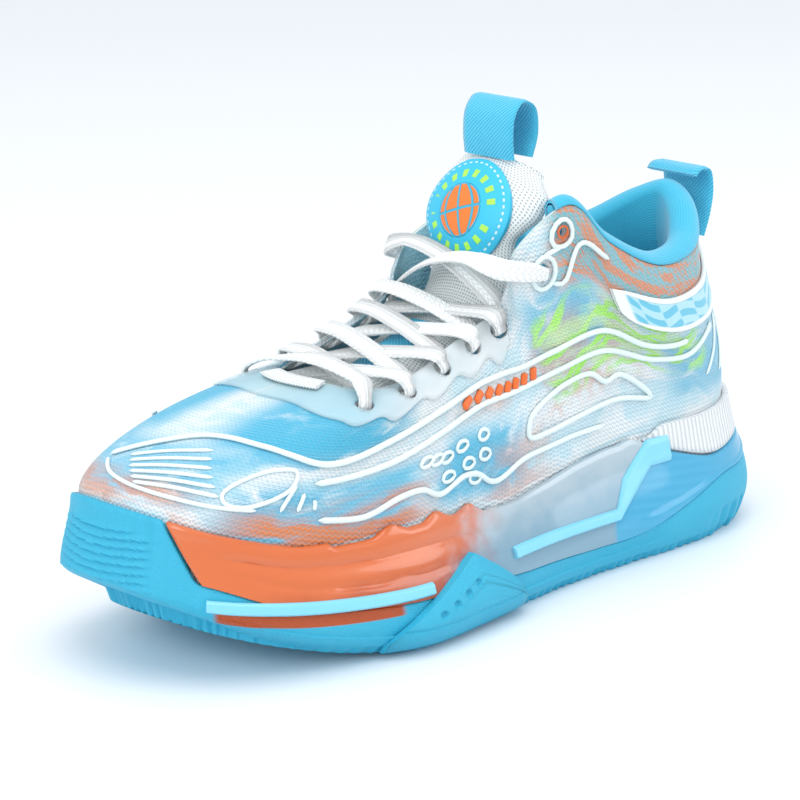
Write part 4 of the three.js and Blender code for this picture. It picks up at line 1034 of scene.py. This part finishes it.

# %% [markdown]
# ## Tongue
# A padded mesh tongue, one piece in real life, which bends just above the top crossing of the lace. Here it is
# one mesh. The round patch and the loop ride on the free top.

# %% Tongue
TONGUE_LINE = [[0.76, 0.52], [0.72, 0.572], [0.69, 0.594], [0.66, 0.598], [0.62, 0.612], [0.573, 0.65],
               [0.527, 0.692], [0.5, 0.727], [0.48, 0.765], [0.472, 0.812], [0.472, 0.87], [0.472, 0.93],
               [0.463, 0.99], [0.443, 1.05], [0.416, 1.1]]
tongue_path = Path([Vector((x * LENGTH, 0, z * HEIGHT)) for x, z in TONGUE_LINE])
TONGUE_THICK, TONGUE_DOME, BEND_HALF = 6, 5, 0.008  # the bend's reach, 8 mm each way, here in metres


def tongue_at(t, y, lift):
    p, d = tongue_path.at(t), tongue_path.tangent(t)
    k = TONGUE_DOME * (y / 20) ** 2 - lift
    return Vector((p.x - d.z * k, y, p.z + d.x * k))


def half_width(t): return lerp(31, 19.5, smooth(t, 0.25, 0.5)) + 7 * smooth(t, 0.74, 0.88)


tongue_rows = []
for t in span(0, 1, 90):
    w = half_width(t) * (0.75 + 0.25 * smooth(1 - t, 0, 0.06))
    thick = TONGUE_THICK * (0.45 + 0.55 * smooth(t, 0, 0.3))
    crown = lambda a: -thick / 2 + (thick / 2) * (1 - a ** 6) ** 0.5 if abs(a) < 1 else -thick / 2
    tongue_rows.append([tongue_at(t, a * w, crown(a)) for a in span(-1, 1, 22)]
                       + [tongue_at(t, a * w, -thick - crown(a)) for a in span(0.95, -0.95, 20)])
tongue = sheet("padded tongue", tongue_rows, lambda i, j: (j, i), mesh_cloth, "mesh_white", body=None,
               replaces=("tongue", "tongue_top"))
bend_at = Vector(next(j for j in record["behaviour"]["joints"] if j["name"] == "tongue_flex")["pos_m"])
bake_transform(tongue)

PATCH_R, PATCH_AT, PATCH_LOW, PATCH_HIGH = 19.5, 0.835, 0.3, 1.9
rows, spots = [], []
for k in [sin(a) for a in span(-pi / 2 + 0.06, pi / 2 - 0.06, 40)]:
    w = PATCH_R * sqrt(1 - (k * 0.9985) ** 2)
    line = [(a * w, 0.35 * (abs(a) > 0.99 or abs(k) > 0.97)) for a in span(-1, 1, 30)]
    t = PATCH_AT + k * PATCH_R / tongue_path.far[-1]
    rows.append([tongue_at(t, y, PATCH_HIGH - drop) for y, drop in line]
                + [tongue_at(t, y, PATCH_LOW) for y, _ in reversed(line)])
    spots.append([(y, k * PATCH_R) for y, _ in line + line[::-1]])
sharp(sheet("round patch disc", rows, lambda i, j: spots[min(i, len(spots) - 1)][j % len(spots[0])],
            patch_finish, "badge_cyan", "tongue_top", replaces=("tongue_patch",)))
STRAP = 13
strap_rows = [[tongue_at(t, a * STRAP, 1.2) for a in span(-0.5, 0.5, 10)]
              + [tongue_at(t, a * STRAP, 0.2) for a in span(0.5, -0.5, 10)] for t in span(0.3, 0.52, 30)]
sheet("tongue keeper strap", strap_rows, lambda i, j: (j, i), twill, "webbing_cyan",
      replaces=("tongue_strap",))
print("tongue points", len(tongue.data.vertices))

# %% [markdown]
# ## Pull loops
# Twill tape folded over and sewn into the tongue's top and the heel. Each is one strip swept along its fold.

# %% Loops
LOOP_WIDTH, HALF_TAPE = 24, 0.68


def tape(name, points, body, replaces):
    path = Path([Vector((x, 0, z)) for x, z in points])
    w = [(Vector((0, y * LOOP_WIDTH, 0)), HALF_TAPE - 0.5 * max(0, abs(y) * 2 - 0.92) / 0.08)
         for y in span(-0.5, 0.5, 12)]
    rows = []
    for t in span(0, 1, 70):
        p, d = path.at(t), path.tangent(t)
        n = Vector((-d.z, 0, d.x))
        rows.append([p + y + n * h for y, h in w] + [p + y - n * h for y, h in reversed(w)])
    sheet(name, rows, lambda i, j: (j, i), twill, "webbing_cyan", body, replaces=replaces)


tip = tongue_at(1, 0, -TONGUE_THICK / 2)
heel_top, heel_back = on_upper(0.5, 1, -3), on_upper(0.5, 0.8, 1.6)
folds = [(3.6, 1.6), (4.4, 9), (3.4, 17), (-1, 21.5), (-6.6, 19), (-8, 10), (-5.4, 1.6)]
tape("tongue pull tape", [(tip.x + x, tip.z + z) for x, z in folds], "tongue_pull", ("tongue_loop",))
folds = [(heel_back.x + x, heel_back.z + z) for x, z in [(0, 0), (-3, 8), (-4.5, 17), (-2.6, 24.5)]]
folds += [(heel_back.x + 3, heel_top.z + 9.5), (heel_top.x - 0.5, heel_top.z + 7.6)]
tape("heel pull tape", folds, "heel_pull", ("heel_loop",))
print("loops done")

# %% [markdown]
# ## Lace
# One flat braid. A bar lies over the first pair of holes, then each end crosses to the other side, over the
# edge and down through the hole. It narrows where a hole pinches it.

# %% Lace
LACE_W, LACE_T, PINCH = 7.5, 1.5, 4.4
RIB_GAP, RIB_HEIGHT = 0.6, 0.9  # the lace clears the raised prints that it lies on
OVER, UNDER = RIB_GAP + RIB_HEIGHT + 2 * GAP + LACE_T / 2, KNIT + 2 * GAP + LACE_T / 2


def at_hole(i, sign):
    key, v, edge_key = EYELETS[i]
    last = i == len(EYELETS) - 1
    hole, out, _ = axes(u_of(key, sign), v)
    under, above = UNDER + (3.2 if last else 0), OVER + (2.4 if last else 1.2)
    over, over_out, _ = axes(u_of(edge_key - (0 if last else 0.2), sign), 1)
    inward = over - hole
    inward = (inward - out * inward.dot(out)).normalized()
    wide = out.cross(inward).normalized()
    radius = (OVER + under) / 2
    steps = [[over + over_out * above, wide, LACE_W],
             [hole.lerp(over, 0.62) + out * (above + 0.3), wide, LACE_W * 0.9]]
    for a in span(0, pi, 4):
        steps.append([hole + out * ((OVER - under) / 2 + radius * cos(a))
                      + inward * (1.1 - min(radius, 2.3) * sin(a)), wide, PINCH])
    if not last:
        leave, leave_out, _ = axes(u_of(edge_key + 0.2, sign), 1)
        steps += [[hole.lerp(leave, 0.6) - out * (under + 0.2), wide, LACE_W * 0.8],
                  [leave - leave_out * (under + 0.2), wide, LACE_W]]
    return steps


def crossing(a, b, top, lift):
    along = b[0] - a[0]
    n = Vector((0.35, 0, 1)).normalized()
    side = n.cross(along).normalized()
    rises = [(t, lift * (1 if t == 0.5 else 0.8) + (1.15 if top else -1.15)) for t in (0.26, 0.5, 0.74)]
    return [[a[0] + along * t + n * rise, side, LACE_W] for t, rise in rises]


def half(sign):
    steps = at_hole(0, sign)
    for i in range(1, len(EYELETS)):
        after = at_hole(i, -sign)
        steps += crossing(steps[-1], after[0], sign > 0, 3 + (6 if i == len(EYELETS) - 1 else 0)) + after
        sign = -sign
    end, tucks = steps[-1][0], ([-0.5, 1.2, -4], [-1, 2.8, -9], [-1.2, 4.6, -15])
    return steps + [[end + Vector((x, -sign * y, z)), Vector((1, 0, 0)), PINCH] for x, y, z in tucks]


outer_half, inner_half = half(1), half(-1)
middle = outer_half[0][0].lerp(inner_half[0][0], 0.5)
bar = [middle + Vector((0.4, 0, 3.4)), Vector((1, 0, -0.3)).normalized(), LACE_W]
steps = inner_half[::-1] + [bar] + outer_half
for a, b in zip(steps, steps[1:]):
    if a[1].dot(b[1]) < 0:
        b[1] = -b[1]
route = Path([s[0] for s in steps], per=8)
turns = [pi * i / 8 for i in range(16)]
SECTION = [(cos(a) * 0.5, (1 if sin(a) > 0 else -1) * abs(sin(a)) ** 0.45) for a in turns]
lace_rows = []
for k, p in enumerate(route.points):
    t = k / route.per
    i = min(int(t), len(steps) - 2)
    d = (route.sample(min(k + 0.5, len(route.points) - 1)) - route.sample(max(k - 0.5, 0))).normalized()
    side = steps[i][1].lerp(steps[i + 1][1], t - i)
    side = (side - d * side.dot(d)).normalized()
    up = side.cross(d)
    w = lerp(steps[i][2], steps[i + 1][2], t - i)
    lace_rows.append([p + side * (a * w) + up * (LACE_T / 2 * h) for a, h in SECTION])
lace = sheet("flat lace", lace_rows, lambda i, j: (i, j), braid, "lace_white", replaces=("lace",))
for corner in lace.data.uv_layers["weave"].data:
    corner.uv = (corner.uv[1], corner.uv[0])
print("lace", round(route.far[-1]), "mm")

# %% [markdown]
# ## Carried-over pieces
# Pieces that the frame already shapes fully take a finish: the stiffeners and boards inside, the foam, the
# shank, the grommets and the lace tips.

# %% Inner pieces
def local_finish(name, color, second, rough, scale=400):
    f = Finish(name, Roughness=rough)
    n = f.noise(f.place(), scale)
    f.to("Base Color", f.mix(n, color, second))
    return f.bump(n, 0.15)


board_finish = local_finish("fibre board", (0.55, 0.52, 0.44, 1), (0.65, 0.62, 0.54, 1), 0.9)
insole_finish = local_finish("insole fabric", (0.02, 0.3, 0.46, 1), (0.04, 0.38, 0.55, 1), 0.9, 900)
tip_finish = local_finish("clear tip", (0.8, 0.83, 0.83, 1), (0.7, 0.75, 0.76, 1), 0.2)
grommet_finish = local_finish("grommet", (0.7, 0.15, 0.04, 1), (0.6, 0.12, 0.03, 1), 0.4)
CARRIED = {"shank_plate": dark, "heel_counter": lining, "toe_puff": board_finish,
           "strobel_board": board_finish, "sockliner": insole_finish, "collar_foam": lining,
           "inner_aglet": tip_finish, "outer_aglet": tip_finish, "inner_grommet": grommet_finish,
           "outer_grommet": grommet_finish}
for name, finish in CARRIED.items():
    node = frame["nodes"][name]
    node.data.materials.clear()
    node.data.materials.append(finish.material)
print("carried over", len(CARRIED))
